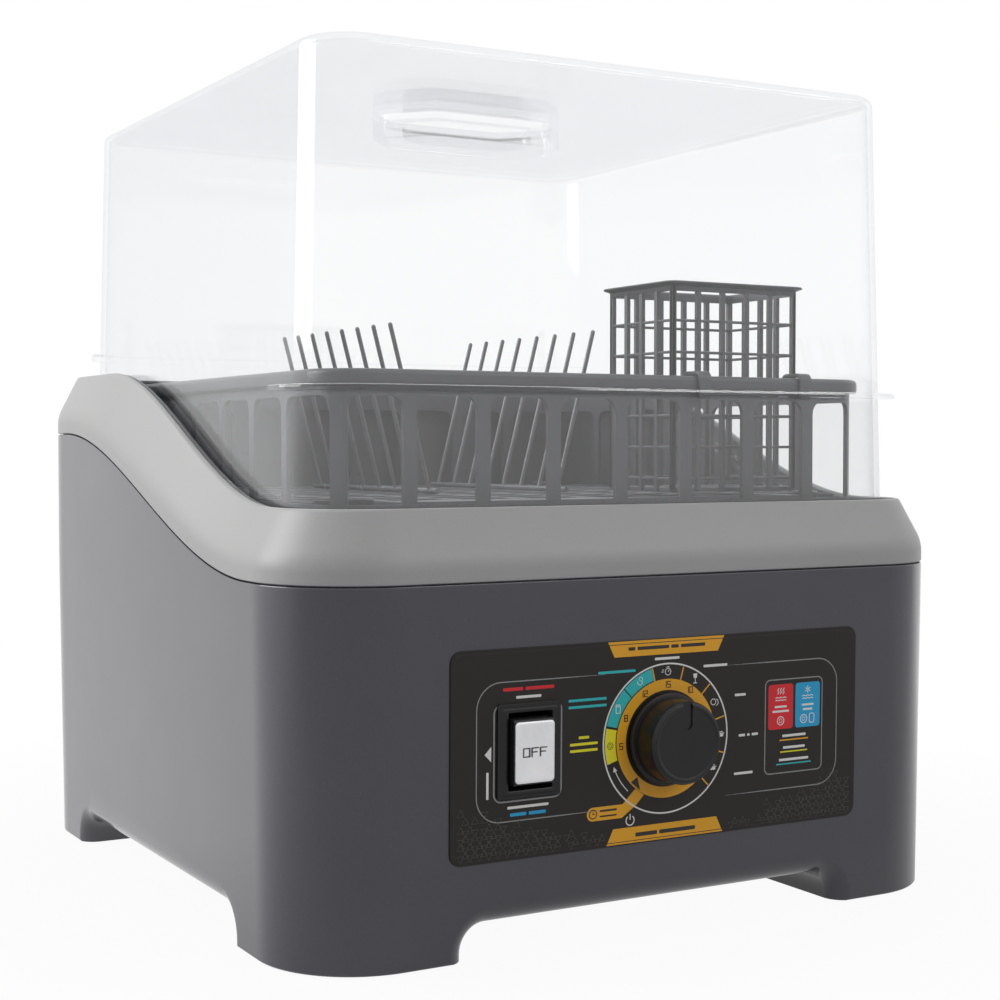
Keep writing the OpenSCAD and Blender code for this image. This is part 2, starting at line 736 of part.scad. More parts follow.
// The rack is one moulding, drawn as three nodes that meet face to face: its rim with the corners and
// legs, its four slotted walls, and its grid floor
module rack_moulding() {
    rib = 7.5;
    side_rib = 5.5;
    bar_w = 5;
    low = rack_floor + 7;
    high = rack_rim_z - 5;
    translate([0, rack_y, 0]) difference() {
        union() {
            prism(rack_w, rack_d, rack_r + rim_reach, rack_rim_z, rack_top);
            prism(rack_wall_w, rack_wall_d, rack_r, rack_floor, rack_top - 1);
        }
        prism(rack_wall_w - 2*rack_skin, rack_wall_d - 2*rack_skin, rack_r - rack_skin, rack_wall_z,
            rack_top + 1);
        for (i = [-4:3]) translate([(i + 0.5)*rib_pitch, 0, 0])
            if ((abs(i + 0.5) + 0.5)*rib_pitch < rack_wall_w/2 - rack_r)
                slot(rib_pitch - rib, low, high, rack_d + 10);
        for (i = [-5:5]) translate([0, i*side_pitch, 0])
            if ((abs(i) + 0.5)*side_pitch < rack_wall_d/2 - rack_r)
                rotate([0, 0, 90]) slot(side_pitch - side_rib, low, high, rack_w + 10);
        for (i = [-4:3]) for (j = [-6:5])
            if (abs(i + 0.5)*rib_pitch < rack_wall_w/2 - 16 && abs(j + 0.5)*side_pitch < rack_wall_d/2 - 12)
                translate([(i + 0.5)*rib_pitch, (j + 0.5)*side_pitch, rack_floor - 1])
                    linear_extrude(rack_floor_t + 2)
                        square([rib_pitch - bar_w, side_pitch - bar_w], center = true);
    }
}
module rack_sides() translate([0, rack_y, 0])
    straight_sides(rack_wall_w/2 - rack_r, rack_wall_d/2 - rack_r, rack_wall_z, rack_rim_z - rim_root);

module plate_rack() color("#56575b") {
    difference() {
        rack_moulding();
        rack_sides();
        block(-far/2, far/2, -far/2, far/2, 0, rack_wall_z);
    }
    // legs standing on the tub floor
    for (x = [-1, 1]) for (y = [-1, 1])
        along_z(6, tub_floor + soft_gap, rack_floor, x*(rack_w/2 - 29), rack_y + y*(rack_d/2 - 27));
}

module rack_walls() color("#56575b") intersection() {
    rack_moulding();
    rack_sides();
}

module rack_grid() color("#56575b") intersection() {
    rack_moulding();
    block(-far/2, far/2, -far/2, far/2, 0, rack_wall_z);
}

module plate_tines() color("#77787c") {
    rail_z = rack_wall_z + tine_dia/2 + 0.2;
    span = tine_pitch*(tine_n - 1);
    for (s = [-1, 1]) {
        bar([s*tine_foot, tine_y - span/2 - 10, rail_z], [s*tine_foot, tine_y + span/2 + 10, rail_z],
            tine_dia/2 + 0.2);
        for (i = [0:tine_n - 1]) {
            y = tine_y - span/2 + i*tine_pitch;
            bar([s*tine_foot, y, rail_z], [s*tine_tip, y, tine_top], tine_dia/2);
        }
    }
}

// The basket is one moulding, drawn as three nodes that meet face to face: its rim with the corner
// posts and hooks, its four barred walls, and its floor
module cutlery_basket() color("#4c4d51") translate([basket_x, basket_y, 0]) {
    half_w = basket_w/2;
    half_d = basket_d/2;
    difference() {
        union() {
            block(-half_w - basket_flare, half_w + basket_flare, -half_d - basket_flare,
                half_d + basket_flare, basket_top - 2, basket_top);
            block(-half_w, half_w, -half_d, half_d, basket_top - basket_band, basket_top - 1);
        }
        block(-half_w + basket_rod, half_w - basket_rod, -half_d + basket_rod, half_d - basket_rod,
            basket_top - basket_band - 1, basket_top + 1);
    }
    for (x = [-1, 1]) for (y = [-1, 1])
        translate([x*(half_w - basket_rod/2), y*(half_d - basket_rod/2), basket_base + basket_floor_t])
            linear_extrude(basket_top - 1 - basket_base - basket_floor_t) square(basket_rod, center = true);
    // hooks over the front rim of the rack, from the ring that runs just under them
    rim_face = rack_y - rack_d/2 - basket_y;
    root = ring_inset - half_d;
    top = rack_top + 2.8;
    ring_z = basket_top - 20 - ring_pitch*floor((basket_top - 20 - rack_top)/ring_pitch + 1);
    for (x = [-half_w + 11, half_w - 5]) {
        block(x - 4, x + 4, rim_face - 2.6, root, rack_top + soft_gap, top);
        block(x - 4, x + 4, rim_face - 2.6, rim_face - soft_gap, rack_top - 12, top);
        block(x - 4, x + 4, root - 2, root, ring_z - basket_wire, top);
    }
}

module basket_walls() color("#4c4d51") translate([basket_x, basket_y, 0])
    for (turn = [0, 90]) rotate([0, 0, turn]) {
        w = turn == 0 ? basket_w : basket_d;
        d = turn == 0 ? basket_d : basket_w;
        bays = turn == 0 ? x_bays : y_bays;
        low = basket_base + basket_floor_t;
        high = basket_top - basket_band;
        for (s = [-1, 1]) {
            for (i = [1:bays - 1])
                translate([-w/2 + basket_rod/2 + i*(w - basket_rod)/bays, s*(d - basket_skin)/2, low])
                    linear_extrude(high - low) square([basket_rod, basket_skin], center = true);
            for (z = [basket_top - 20:-ring_pitch:basket_base + 5])
                translate([0, s*(d/2 - ring_inset - basket_wire/2), z - basket_wire/2])
                    cube([w - 2*basket_rod, basket_wire, basket_wire], center = true);
        }
    }

module basket_grid() color("#4c4d51") translate([basket_x, basket_y, 0]) difference() {
    pane_w = (basket_w - 2*basket_rod)/x_bays;
    pane_d = (basket_d - 2*basket_rod)/y_bays;
    block(-basket_w/2, basket_w/2, -basket_d/2, basket_d/2, basket_base, basket_base + basket_floor_t);
    for (i = [0:x_bays - 1]) for (j = [0:y_bays - 1])
        translate([(i - (x_bays - 1)/2)*pane_w, (j - (y_bays - 1)/2)*pane_d, basket_base])
            cube([pane_w - 3, pane_d - 3, 20], center = true);
}

// ---- washing system ----

module spray_arm() color("#8d9094") translate([0, pump_y, 0]) difference() {
    union() {
        along_z(22, hub_z, hub_z + hub_h);
        translate([0, 0, hub_z + 5]) linear_extrude(arm_h) {
            square([2*arm_reach - arm_w, arm_w], center = true);
            for (s = [-1, 1]) translate([s*(arm_reach - arm_w/2), 0]) circle(arm_w/2);
        }
    }
    along_z(column_r + run_fit, hub_z - 1, hub_z + hub_h + 1);
    translate([0, 0, hub_z + 7]) linear_extrude(arm_h - 4) {
        square([2*arm_reach - arm_w, arm_w - 6], center = true);
        for (s = [-1, 1]) translate([s*(arm_reach - arm_w/2), 0]) circle(arm_w/2 - 3);
    }
    for (s = [-1, 1]) for (i = [0:4])
        along_z(1.4, hub_z + arm_h, hub_z + arm_h + 8, s*(45 + i*22), (i%2 == 0 ? 1 : -1)*6);
}

module spray_column() color("#6e7074") translate([0, pump_y, 0]) difference() {
    union() {
        along_z(24, tub_floor, tub_floor + 3);
        along_z(16, tub_floor, shoulder_z);
        along_z(column_r, tub_floor, cap_z + 4);
    }
    along_z(column_r - 3, tub_floor - 1, cap_z - 2);
    for (a = [0, 90]) rotate([0, 0, a]) block(-20, 20, -5, 5, hub_z + 7, hub_z + 14);
}

module thrust_washer() color("#d8d4c4") translate([0, pump_y, 0]) difference() {
    along_z(19, shoulder_z, shoulder_z + washer_t);
    along_z(column_r + touch, shoulder_z - 1, shoulder_z + washer_t + 1);
}

module spray_cap() color("#6e7074") translate([0, pump_y, 0]) difference() {
    union() {
        along_z(17, cap_z, cap_z + 5);
        for (a = [0:60:300]) rotate([0, 0, a]) along_z(2, cap_z, cap_z + 5, 17, 0);
    }
    along_z(column_r + touch, cap_z - 1, cap_z + 4 + touch);
}

module filter_basket() color("#b9bcc0") translate([sump_x, sump_y, 0]) {
    filter_r = sump_r - 6;
    low = sump_floor_z + 7;
    lip = tub_floor + soft_gap;
    difference() {
        union() {
            along_z(sump_r + 4, lip, lip + 2);
            along_z(filter_r, low, lip + 1);
        }
        along_z(filter_r - 1.6, low + 1.6, lip + 3);
        for (a = [15:30:345]) rotate([0, 0, a]) for (k = [0, 1])
            block(filter_r - 4, filter_r + 2, -6.5, 6.5, low + 4 + k*17, low + 18 + k*17);
    }
    difference() {
        block(-filter_r, filter_r, -2, 2, lip - 2, lip + 6);
        block(-filter_r + 9, filter_r - 9, -3, 3, lip - 3, lip + 3.5);
    }
}

module sump() color("#55565a") translate([sump_x, sump_y, 0]) {
    top = tub_floor - tub_t - seal_h;
    port = drain_pump_z;
    difference() {
        union() {
            along_z(sump_r + 8, top - 2.5, top);
            along_z(sump_r + tub_t, sump_floor_z, top - 1);
        }
        along_z(sump_r, sump_floor_z + tub_t, top + 1);
        // side ports to the wash pump and to the drain pump
        rotate([0, 0, sump_angle + 180]) along_x(9, sump_r - 5, sump_r + 10, 0, port);
        along_x(7, sump_r - 5, sump_r + 10, 0, port);
    }
}

module sump_seal() color("#2a2a2c") translate([sump_x, sump_y, 0]) difference() {
    along_z(sump_r + 7, tub_floor - tub_t - seal_h, tub_floor - tub_t);
    along_z(sump_r, tub_floor - 8, tub_floor + 1);
}

module suction_pipe() color("#3a3a3d") translate([0, pump_y, 0]) difference() {
    rotate([0, 0, sump_angle]) difference() {
        along_x(11, volute_r - 4, sump_dist - sump_r + 2, 0, drain_pump_z);
        along_x(9, volute_r - 6, sump_dist - sump_r + 4, 0, drain_pump_z);
    }
    along_z(volute_r + touch, 0, far/2);
    along_z(sump_r + tub_t + touch, 0, far/2, sump_x, sump_y - pump_y);
}

module wash_pump_housing() color("#3f4044") translate([0, pump_y, 0]) difference() {
    union() {
        along_z(volute_r, volute_floor, volute_top);
        along_z(column_r, volute_top - 1, tub_floor);
        for (a = [90, 210, 330]) rotate([0, 0, a])
            along_z(5, volute_top - 1, tub_floor - tub_t, volute_r - 8, 0);
    }
    along_z(volute_r - 4, volute_floor + 4, volute_top - 4);
    along_z(column_r - 3, volute_top - 5, tub_floor + 1);
    along_z(9, volute_floor - 1, volute_floor + 5);
    rotate([0, 0, sump_angle]) along_x(9, volute_r - 10, volute_r + 5, 0, drain_pump_z);
}

module pump_impeller() color("#c9c6b8") translate([0, pump_y, 0]) difference() {
    union() {
        along_z(volute_r - 9, volute_floor + 8, volute_floor + 11);
        along_z(9, volute_floor + 8, volute_floor + 26);
        for (i = [0:6]) rotate([0, 0, i*360/7]) rotate([0, 0, 25])
            block(7, volute_r - 12, -1.2, 1.2, volute_floor + 10, volute_floor + 24);
    }
    along_z(shaft_r + 0.02, volute_floor, volute_floor + 23);
}

module pump_shaft() color("#c8cace") translate([0, pump_y, 0])
    along_z(shaft_r, motor_floor - 10, volute_floor + 23);

module shaft_seal() color("#26262a") translate([0, pump_y, 0]) difference() {
    along_z(9 - 0.02, volute_floor, volute_floor + 4);
    along_z(shaft_r + run_fit, volute_floor - 1, volute_floor + 5);
}

module pump_bearings() color("#d0d2d6") translate([0, pump_y, 0])
    for (z = [motor_floor, motor_top - 4]) difference() {
        along_z(bearing_r - 0.02, z, z + 4);
        along_z(shaft_r + run_fit, z - 1, z + 5);
    }

module motor_can() color("#8f9296") translate([0, pump_y, 0]) difference() {
    union() {
        along_z(motor_r, motor_floor, motor_top);
        for (a = [90, 210, 330]) rotate([0, 0, a])
            along_z(4.5, motor_top - 1, volute_floor, motor_r - 7, 0);
    }
    along_z(motor_r - 2.5, motor_floor + 4, motor_top - 4);
    along_z(bearing_r, motor_floor - 1, motor_top + 1);
    for (i = [0:7]) rotate([0, 0, 22.5 + i*45])
        block(motor_r - 6, motor_r + 4, -4, 4, motor_floor + 12, motor_top - 12);
}

module motor_stator() color("#a8622d") translate([0, pump_y, 0]) difference() {
    along_z(motor_r - 2.55, motor_floor + 10, motor_top - 10);
    along_z(motor_r - 15, motor_floor + 9, motor_top - 9);
}

module motor_rotor() color("#6b6d70") translate([0, pump_y, 0]) difference() {
    along_z(motor_r - 15.6, motor_floor + 8, motor_top - 8);
    along_z(shaft_r + 0.02, motor_floor, motor_top);
}

module motor_fan() color("#e4e1d6") translate([0, pump_y, 0]) difference() {
    union() {
        along_z(8, motor_floor - 10, motor_floor - 2);
        along_z(26, motor_floor - 10, motor_floor - 8.5);
        for (i = [0:8]) rotate([0, 0, i*40]) block(6, 26, -0.8, 0.8, motor_floor - 9, motor_floor - 3);
    }
    along_z(shaft_r + 0.02, motor_floor - 11, motor_floor);
}

module drain_pump_body() color("#46474b") {
    y = sump_y;
    z = drain_pump_z;
    difference() {
        union() {
            along_x(22, drain_pump_x, drain_pump_x + 15, y, z);
            along_x(18, drain_pump_x + 14, drain_pump_x + 46, y, z);
            along_x(9, sump_x + sump_r, drain_pump_x + 1, y, z);
            along_y(hose_bore - touch, y + 12, y + 38, drain_stub_x, z);
        }
        along_z(sump_r + tub_t + touch, 0, far/2, sump_x, sump_y);
        along_x(19, drain_pump_x + 2, drain_pump_x + 12.5, y, z);
        along_x(7, sump_x, drain_pump_x + 3, y, z);
        along_x(2 + run_fit, drain_pump_x + 5, drain_pump_x + 40, y, z);
        along_y(5.5, y + 5, y + 40, drain_stub_x, z);
    }
}

module drain_pump_impeller() color("#c9c6b8") {
    y = sump_y;
    z = drain_pump_z;
    along_x(2, drain_pump_x + 6, drain_pump_x + 38, y, z);
    along_x(16, drain_pump_x + 10, drain_pump_x + 11.5, y, z);
    along_x(4, drain_pump_x + 4.5, drain_pump_x + 11, y, z);
    translate([drain_pump_x, y, z]) for (i = [0:5]) rotate([i*60, 0, 0])
        block(5, 10.5, -0.7, 0.7, 3, 15);
}

// Drain route: along the base, down behind the tub, and out at the back
drain_stub_x = drain_pump_x + 7.5;
drain_route = [
    [drain_stub_x, sump_y + 26, drain_pump_z], [drain_stub_x, back_y - 32, drain_pump_z],
    [drain_x, back_y - 32, drain_z], [drain_x, back_y - 8, drain_z]];

module drain_hose() color("#3a3a3d") difference() {
    pipe(drain_route, hose_r);
    pipe([drain_route[0] - [0, 1, 0], drain_route[1], drain_route[2], drain_route[3] + [0, 1, 0]], hose_bore);
}

module drain_spigot() color("#2f3034") difference() {
    union() {
        along_y(hose_bore - touch, back_y - 20, back_y - 6, drain_x, drain_z);
        along_y(drain_r, back_y - 7, back_y + spigot_out, drain_x, drain_z);
        along_y(16, back_y, back_y + 3, drain_x, drain_z);
    }
    along_y(5.5, back_y - 21, back_y + spigot_out + 1, drain_x, drain_z);
}

module inlet_valve() color("#e8e6de") difference() {
    union() {
        along_y(inlet_r, back_y - 8, back_y + spigot_out, inlet_x, inlet_z);
        along_y(17, back_y, back_y + 3.5, inlet_x, inlet_z, $fn = 6);
        block(inlet_x - 17, inlet_x + 17, back_y - 36, back_y - 7.5, inlet_z - 17, inlet_z + 17);
        along_z(inlet_hose_bore - touch, inlet_z + 16, inlet_z + 34, inlet_x, inlet_hose_y);
    }
    along_y(9, back_y - 24, back_y + spigot_out + 1, inlet_x, inlet_z);
    along_z(4, inlet_z, inlet_z + 35, inlet_x, inlet_hose_y);
}

module valve_coil() color("#2c5f8a") difference() {
    union() {
        along_y(14, back_y - 62, back_y - 36, inlet_x, inlet_z);
        block(inlet_x - 8, inlet_x + 8, back_y - 56, back_y - 42, inlet_z + 8, inlet_z + 19);
    }
    along_y(4, back_y - 63, back_y - 45, inlet_x, inlet_z);
}

inlet_route = [
    [inlet_x, inlet_hose_y, inlet_z + 22], [inlet_x, inlet_hose_y, fill_z],
    [inlet_x, basin_rear + tub_t + 0.2, fill_z]];

module inlet_hose() color("#d9dbdc") difference() {
    pipe(inlet_route, inlet_hose_r);
    pipe([inlet_route[0] - [0, 0, 1], inlet_route[1], inlet_route[2] - [0, 1, 0]], inlet_hose_bore);
}

module fill_port() color("#55565a") difference() {
    union() {
        along_y(inlet_hose_bore - touch, basin_rear - 1, basin_rear + tub_t + 8, inlet_x, fill_z);
        along_y(13, basin_rear - 2.5, basin_rear, inlet_x, fill_z);
    }
    along_y(4, basin_rear - 4, basin_rear + tub_t + 9, inlet_x, fill_z);
}

module hose_clamps() color("#c4c6ca") {
    for (c = [[drain_stub_x, sump_y + 29, drain_pump_z], [drain_x, back_y - 18, drain_z]]) difference() {
        along_y(hose_r + 1.3, c[1], c[1] + 7, c[0], c[2]);
        along_y(hose_r + touch, c[1] - 1, c[1] + 8, c[0], c[2]);
    }
    difference() {
        along_z(inlet_hose_r + 1.3, inlet_z + 25, inlet_z + 32, inlet_x, inlet_hose_y);
        along_z(inlet_hose_r + touch, inlet_z + 24, inlet_z + 33, inlet_x, inlet_hose_y);
    }
}

module heater_element() color("#7a7c80") translate([0, pump_y, 0]) {
    translate([0, 0, heater_z]) rotate_extrude(angle = heater_sweep)
        translate([heater_r, 0]) circle(heater_tube);
    for (a = [0, heater_sweep]) rotate([0, 0, a]) {
        along_z(heater_tube + 0.2, tub_floor - 22, heater_z + heater_tube + 0.2, heater_r, 0);
    }
}

module heater_clips() color("#b4b6ba") translate([0, pump_y, 0]) for (a = [70, 140, 210]) rotate([0, 0, a])
    difference() {
        block(heater_r - 7, heater_r + 7, -3, 3, tub_floor, heater_z + heater_tube + 1.2);
        translate([0, 0, heater_z]) rotate_extrude() translate([heater_r, 0]) circle(heater_tube + touch);
    }

module thermostat() color("#c2b9a0") {
    x = -70;
    y = pump_y - 104;
    top = tub_floor - tub_t;
    along_z(9, top - 8, top, x, y);
    for (s = [-1, 1]) block(x + s*4 - 1.5, x + s*4 + 1.5, y - 0.4, y + 0.4, top - 15, top - 7);
}

module level_float() color("#e9e4d2") difference() {
    along_z(13, tub_floor + soft_gap, tub_floor + 15, float_x, float_y);
    along_z(3 + run_fit, tub_floor - 1, tub_floor + 16, float_x, float_y);
}

module float_switch() color("#2b2b2e") {
    top = tub_floor - tub_t;
    block(float_x - 12, float_x + 12, float_y - 7, float_y + 7, top - 15, top);
    for (s = [-1, 0, 1]) block(float_x + s*7 - 1.5, float_x + s*7 + 1.5, float_y - 0.4, float_y + 0.4, top - 21, top - 14);
}

// ---- controls ----

module timer_body() color("#d6d2c4") difference() {
    union() {
        block(-26, 26, timer_face + 2, timer_face + 30, timer_z - 24, timer_z + 24);
        block(-30, 30, timer_face, timer_face + 2, timer_z - 12, timer_z + 12);
        along_y(6, front_y + 0.5, timer_face + 1, 0, timer_z);
        for (x = [-20, -12, 12, 20]) block(x - 3, x + 3, timer_face + 29, timer_face + 38, timer_z - 10.4, timer_z - 9.6);
    }
    along_y(timer_shaft_r + run_fit, front_y - 1, timer_face + 26, 0, timer_z);
    for (x = [-1, 1]) along_y(screw_hole, timer_face - 1, timer_face + 12, x*timer_screw_x, timer_z);
}

module timer_shaft() color("#c8cace")
    along_y(timer_shaft_r, front_y - knob_out + 5, timer_face + 24, 0, timer_z);

module timer_knob() color("#1b1b1d") {
    back = front_y - panel_t - soft_gap;
    face = front_y - knob_out;
    difference() {
        union() {
            difference() {
                union() {
                    along_y(knob_base_r, back - 2.2, back, 0, timer_z);
                    along_y(knob_r, face + 1.6, back - 2, 0, timer_z);
                    translate([0, face + 1.6, timer_z]) rotate([90, 0, 0])
                        cylinder(r1 = knob_r, r2 = knob_r - 1.6, h = 1.6);
                }
                along_y(knob_r - 2, face + 9, back + 1, 0, timer_z);
                // pointer groove
                block(-1.3, 1.3, face - 1, face + 0.8, timer_z + 9, timer_z + knob_r + 1);
            }
            // hub gripping the timer shaft
            along_y(6.5, face + 8, back, 0, timer_z);
        }
        along_y(timer_shaft_r + grip_fit, face + 5 - grip_fit, back + 1, 0, timer_z);
    }
}

pivot_depth = 4.5;
opening_w = button_w + 2*0.8;
opening_h = button_h + 5;

module rocker_frame() color("#18181a") on_front(rocker_x, rocker_z) difference() {
    union() {
        block(-rocker_w/2, rocker_w/2, -panel_t - 1.6, -panel_t, -rocker_h/2, rocker_h/2);
        block(-rocker_w/2 + 2.2, rocker_w/2 - 2.2, -panel_t - 2.4, -panel_t,
            -rocker_h/2 + 2.2, rocker_h/2 - 2.2);
        block(-rocker_w/2 + 3.2, rocker_w/2 - 3.2, -panel_t - 1, 20, -rocker_h/2 + 4.2, rocker_h/2 - 4.2);
    }
    block(-opening_w/2, opening_w/2, -5, 17.5, -opening_h/2, opening_h/2);
    // pivot sockets
    along_x(2 + run_fit, -opening_w/2 - 1.8, opening_w/2 + 1.8, pivot_depth, 0);
}

// Side view of the button round its pivot: y outward is negative
module rocker_button() color("#222224") on_front(rocker_x, rocker_z) translate([0, pivot_depth, 0]) {
    h = button_h/2;
    translate([-button_w/2, 0, 0]) rotate([90, 0, 90]) linear_extrude(button_w)
        polygon([
            [-11.4, -h + 1.2], [-10.2, -h + 0.2], [-4, -h], [0, -h + 1], [6.5, -h + 8], [6.5, h - 8],
            [0, h - 1], [-4, h], [-10.2, h - 0.2], [-11.4, h - 1.2]]);
    along_x(2, -opening_w/2 - 1.6, opening_w/2 + 1.6, 0, 0);
}

module rocker_plate() color("#d4d5d8") on_front(rocker_x, rocker_z) translate([0, pivot_depth - 11.4, 0])
    block(-button_w/2 + 0.3, button_w/2 - 0.3, -0.6, 0, -button_h/2 + 1, button_h/2 - 1);

module switch_terminals() color("#c9a24a") on_front(rocker_x, rocker_z)
    for (x = [-6, 6]) for (z = [-12, 0, 12]) block(x - 3, x + 3, 20, 29, z - 0.4, z + 0.4);

module control_panel() color("#2b2723") on_front(0, panel_z) difference() {
    translate([0, 0, 0]) rotate([90, 0, 0]) linear_extrude(panel_t) rounded(panel_w, panel_h, 6);
    rotate([90, 0, 0]) translate([0, timer_z - panel_z, -5]) cylinder(r = 17.5, h = 10);
    block(rocker_x - rocker_w/2 + 3, rocker_x + rocker_w/2 - 3, -5, 5,
        rocker_z - panel_z - rocker_h/2 + 4, rocker_z - panel_z + rocker_h/2 - 4);
}

// ---- electrics on the floor ring ----

module terminal_block() color("#e6e3da") difference() {
    union() {
        block(42, 100, back_y - 52, back_y - 30, ring_top, ring_top + 14);
        for (i = [0:4]) block(44 + i*11, 52 + i*11, back_y - 52, back_y - 30, ring_top + 13, ring_top + 19);
    }
    for (i = [0:4]) along_z(2.2, ring_top + 12, ring_top + 20, 48 + i*11, back_y - 41);
}

module run_capacitor() color("#c9ccd0") {
    z = ring_top + 16;
    along_x(15, -96, -36, back_y - 42, z);
    block(-80, -52, back_y - 57, back_y - 27, ring_top, ring_top + 2);
    block(-74, -58, back_y - 46, back_y - 38, ring_top + 1, z - 10);
    for (s = [-1, 1]) block(-36.5, -28, back_y - 42 + s*5 - 3, back_y - 42 + s*5 + 3, z - 0.4, z + 0.4);
}

module wiring_harness() color("#b9463a") {
    y = back_y - 52.2;
    z = ring_top + 9;
    front = timer_face + 16;
    pipe([[82, y, z], [82, front, z], [82, front, timer_z - 6], [26.2, front, timer_z - 6]], 3);
    pipe([[60, y, z], [60, pump_y, z], [60, pump_y, motor_floor + 20], [motor_r + 0.2, pump_y, motor_floor + 20]], 2.5);
    pipe([[-26.2, front, timer_z + 4], [rocker_x + rocker_w/2 + 1, front, timer_z + 4]], 2.5);
}

module cord_gland() color("#1f1f21") difference() {
    union() {
        along_y(8, back_y - 14, back_y + 8, gland_x, gland_z);
        along_y(13, back_y, back_y + 4, gland_x, gland_z);
        along_y(11.5, back_y - 12, back_y - 5.8, gland_x, gland_z, $fn = 6);
    }
    along_y(gland_bore, back_y - 15, back_y + 9, gland_x, gland_z);
}

housing();
casing_floor();
casing_corners();
trim_ring();
tub();
bottom_cover();
foot_pads();
casing_screws();
lid();
lid_seal();
plate_rack();
rack_walls();
rack_grid();
plate_tines();
cutlery_basket();
basket_walls();
basket_grid();
spray_arm();
spray_column();
spray_cap();
thrust_washer();
filter_basket();
sump();
sump_seal();
wash_pump_housing();
pump_impeller();
pump_shaft();
shaft_seal();
pump_bearings();
motor_can();
motor_stator();
motor_rotor();
motor_fan();
suction_pipe();
drain_pump_body();
drain_pump_impeller();
drain_hose();
drain_spigot();
inlet_valve();
valve_coil();
inlet_hose();
fill_port();
hose_clamps();
heater_element();
heater_clips();
thermostat();
level_float();
float_switch();
timer_body();
timer_shaft();
timer_knob();
rocker_frame();
rocker_button();
rocker_plate();
switch_terminals();
control_panel();
terminal_block();
wiring_harness();
run_capacitor();
cord_gland();
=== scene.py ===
import math

import bmesh
import bpy
import numpy as np
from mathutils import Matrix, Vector


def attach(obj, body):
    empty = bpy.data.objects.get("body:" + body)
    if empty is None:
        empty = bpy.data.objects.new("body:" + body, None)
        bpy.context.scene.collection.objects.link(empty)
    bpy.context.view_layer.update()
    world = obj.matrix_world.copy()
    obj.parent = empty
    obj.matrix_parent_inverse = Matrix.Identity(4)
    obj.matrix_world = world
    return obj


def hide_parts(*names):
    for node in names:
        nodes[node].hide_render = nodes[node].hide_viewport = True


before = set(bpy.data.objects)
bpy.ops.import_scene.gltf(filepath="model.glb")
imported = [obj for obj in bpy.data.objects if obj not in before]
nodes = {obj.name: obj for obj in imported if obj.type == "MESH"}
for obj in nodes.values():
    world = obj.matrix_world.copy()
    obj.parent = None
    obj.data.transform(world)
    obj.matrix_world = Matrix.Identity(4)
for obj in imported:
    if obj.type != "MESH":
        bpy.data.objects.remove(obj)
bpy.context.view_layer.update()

# ---- Studio ----
# A pale floor and a white surround with soft lamps, and the camera where the photographer stood:
# a little above the trim, to the left of the front.


def put(name, data, place=None, gaze=None):
    """Adds an object; a lamp or camera also gets its place and the way it looks."""
    thing = bpy.data.objects.new(name, data)
    bpy.context.scene.collection.objects.link(thing)
    if gaze is not None:
        thing.location, thing.rotation_mode = place, "QUATERNION"
        thing.rotation_quaternion = Vector(gaze).to_track_quat("-Z", "Y")
    return thing


camera_data = bpy.data.cameras.new("camera")
camera_data.sensor_width, camera_data.lens = 36.0, 63.48
camera_data.clip_start, camera_data.clip_end = 0.05, 60.0
turn, dip = math.radians(29.617), math.radians(1.75)
bpy.context.scene.camera = put("camera", camera_data, (-0.5086, -0.9403, 0.2457), (
    math.sin(turn) * math.cos(dip), math.cos(turn) * math.cos(dip), -math.sin(dip)))
bpy.context.scene.view_settings.view_transform = "Standard"


class Value:
    """A shader or geometry socket that can be used in an expression."""

    def __init__(self, tree, socket):
        self.tree, self.socket = tree, socket

    def __add__(self, other):
        return self.tree.math("ADD", self, other)

    def __sub__(self, other):
        return self.tree.math("SUBTRACT", self, other)

    def __rsub__(self, other):
        return self.tree.math("SUBTRACT", other, self)

    def __mul__(self, other):
        return self.tree.math("MULTIPLY", self, other)

    def __truediv__(self, other):
        return self.tree.math("DIVIDE", self, other)

    def __pow__(self, other):
        return self.tree.math("POWER", self, other)

    __radd__, __rmul__ = __add__, __mul__


class Tree:
    """A node tree, built one node at a time."""

    def __init__(self, node_tree):
        self.nodes, self.links = node_tree.nodes, node_tree.links

    def node(self, kind, settings=None, *values, out=0, at=None, **named):
        """Adds a node with its settings first, then its sockets, and gives its output."""
        made = self.nodes.new(kind)
        for key, value in (settings or {}).items():
            setattr(made, key, value)
        places = list(enumerate(values)) + list((at or {}).items())
        places += [(key.replace("_", " "), value) for key, value in named.items()]
        for place, value in places:
            socket = made.inputs[place]
            if isinstance(value, Value):
                self.links.new(value.socket, socket)
            else:
                socket.default_value = (*value, 1.0) if socket.type == "RGBA" else value
        return Value(self, made.outputs[out])

    def math(self, operation, *terms):
        return self.node("ShaderNodeMath", {"operation": operation}, *terms)

    def end(self, kind, shown):
        self.links.new(shown.socket, self.nodes.new(kind).inputs[0])

    def seen(self, gloss_share=1.0):
        """1 on rays from the camera, through clear plastic and, by a share, off gloss."""
        camera_ray, gloss_ray, clear_ray = [self.node("ShaderNodeLightPath", out=k) for k in (0, 3, 6)]
        return self.math("MAXIMUM", camera_ray, self.math("MAXIMUM", gloss_ray * gloss_share, clear_ray))


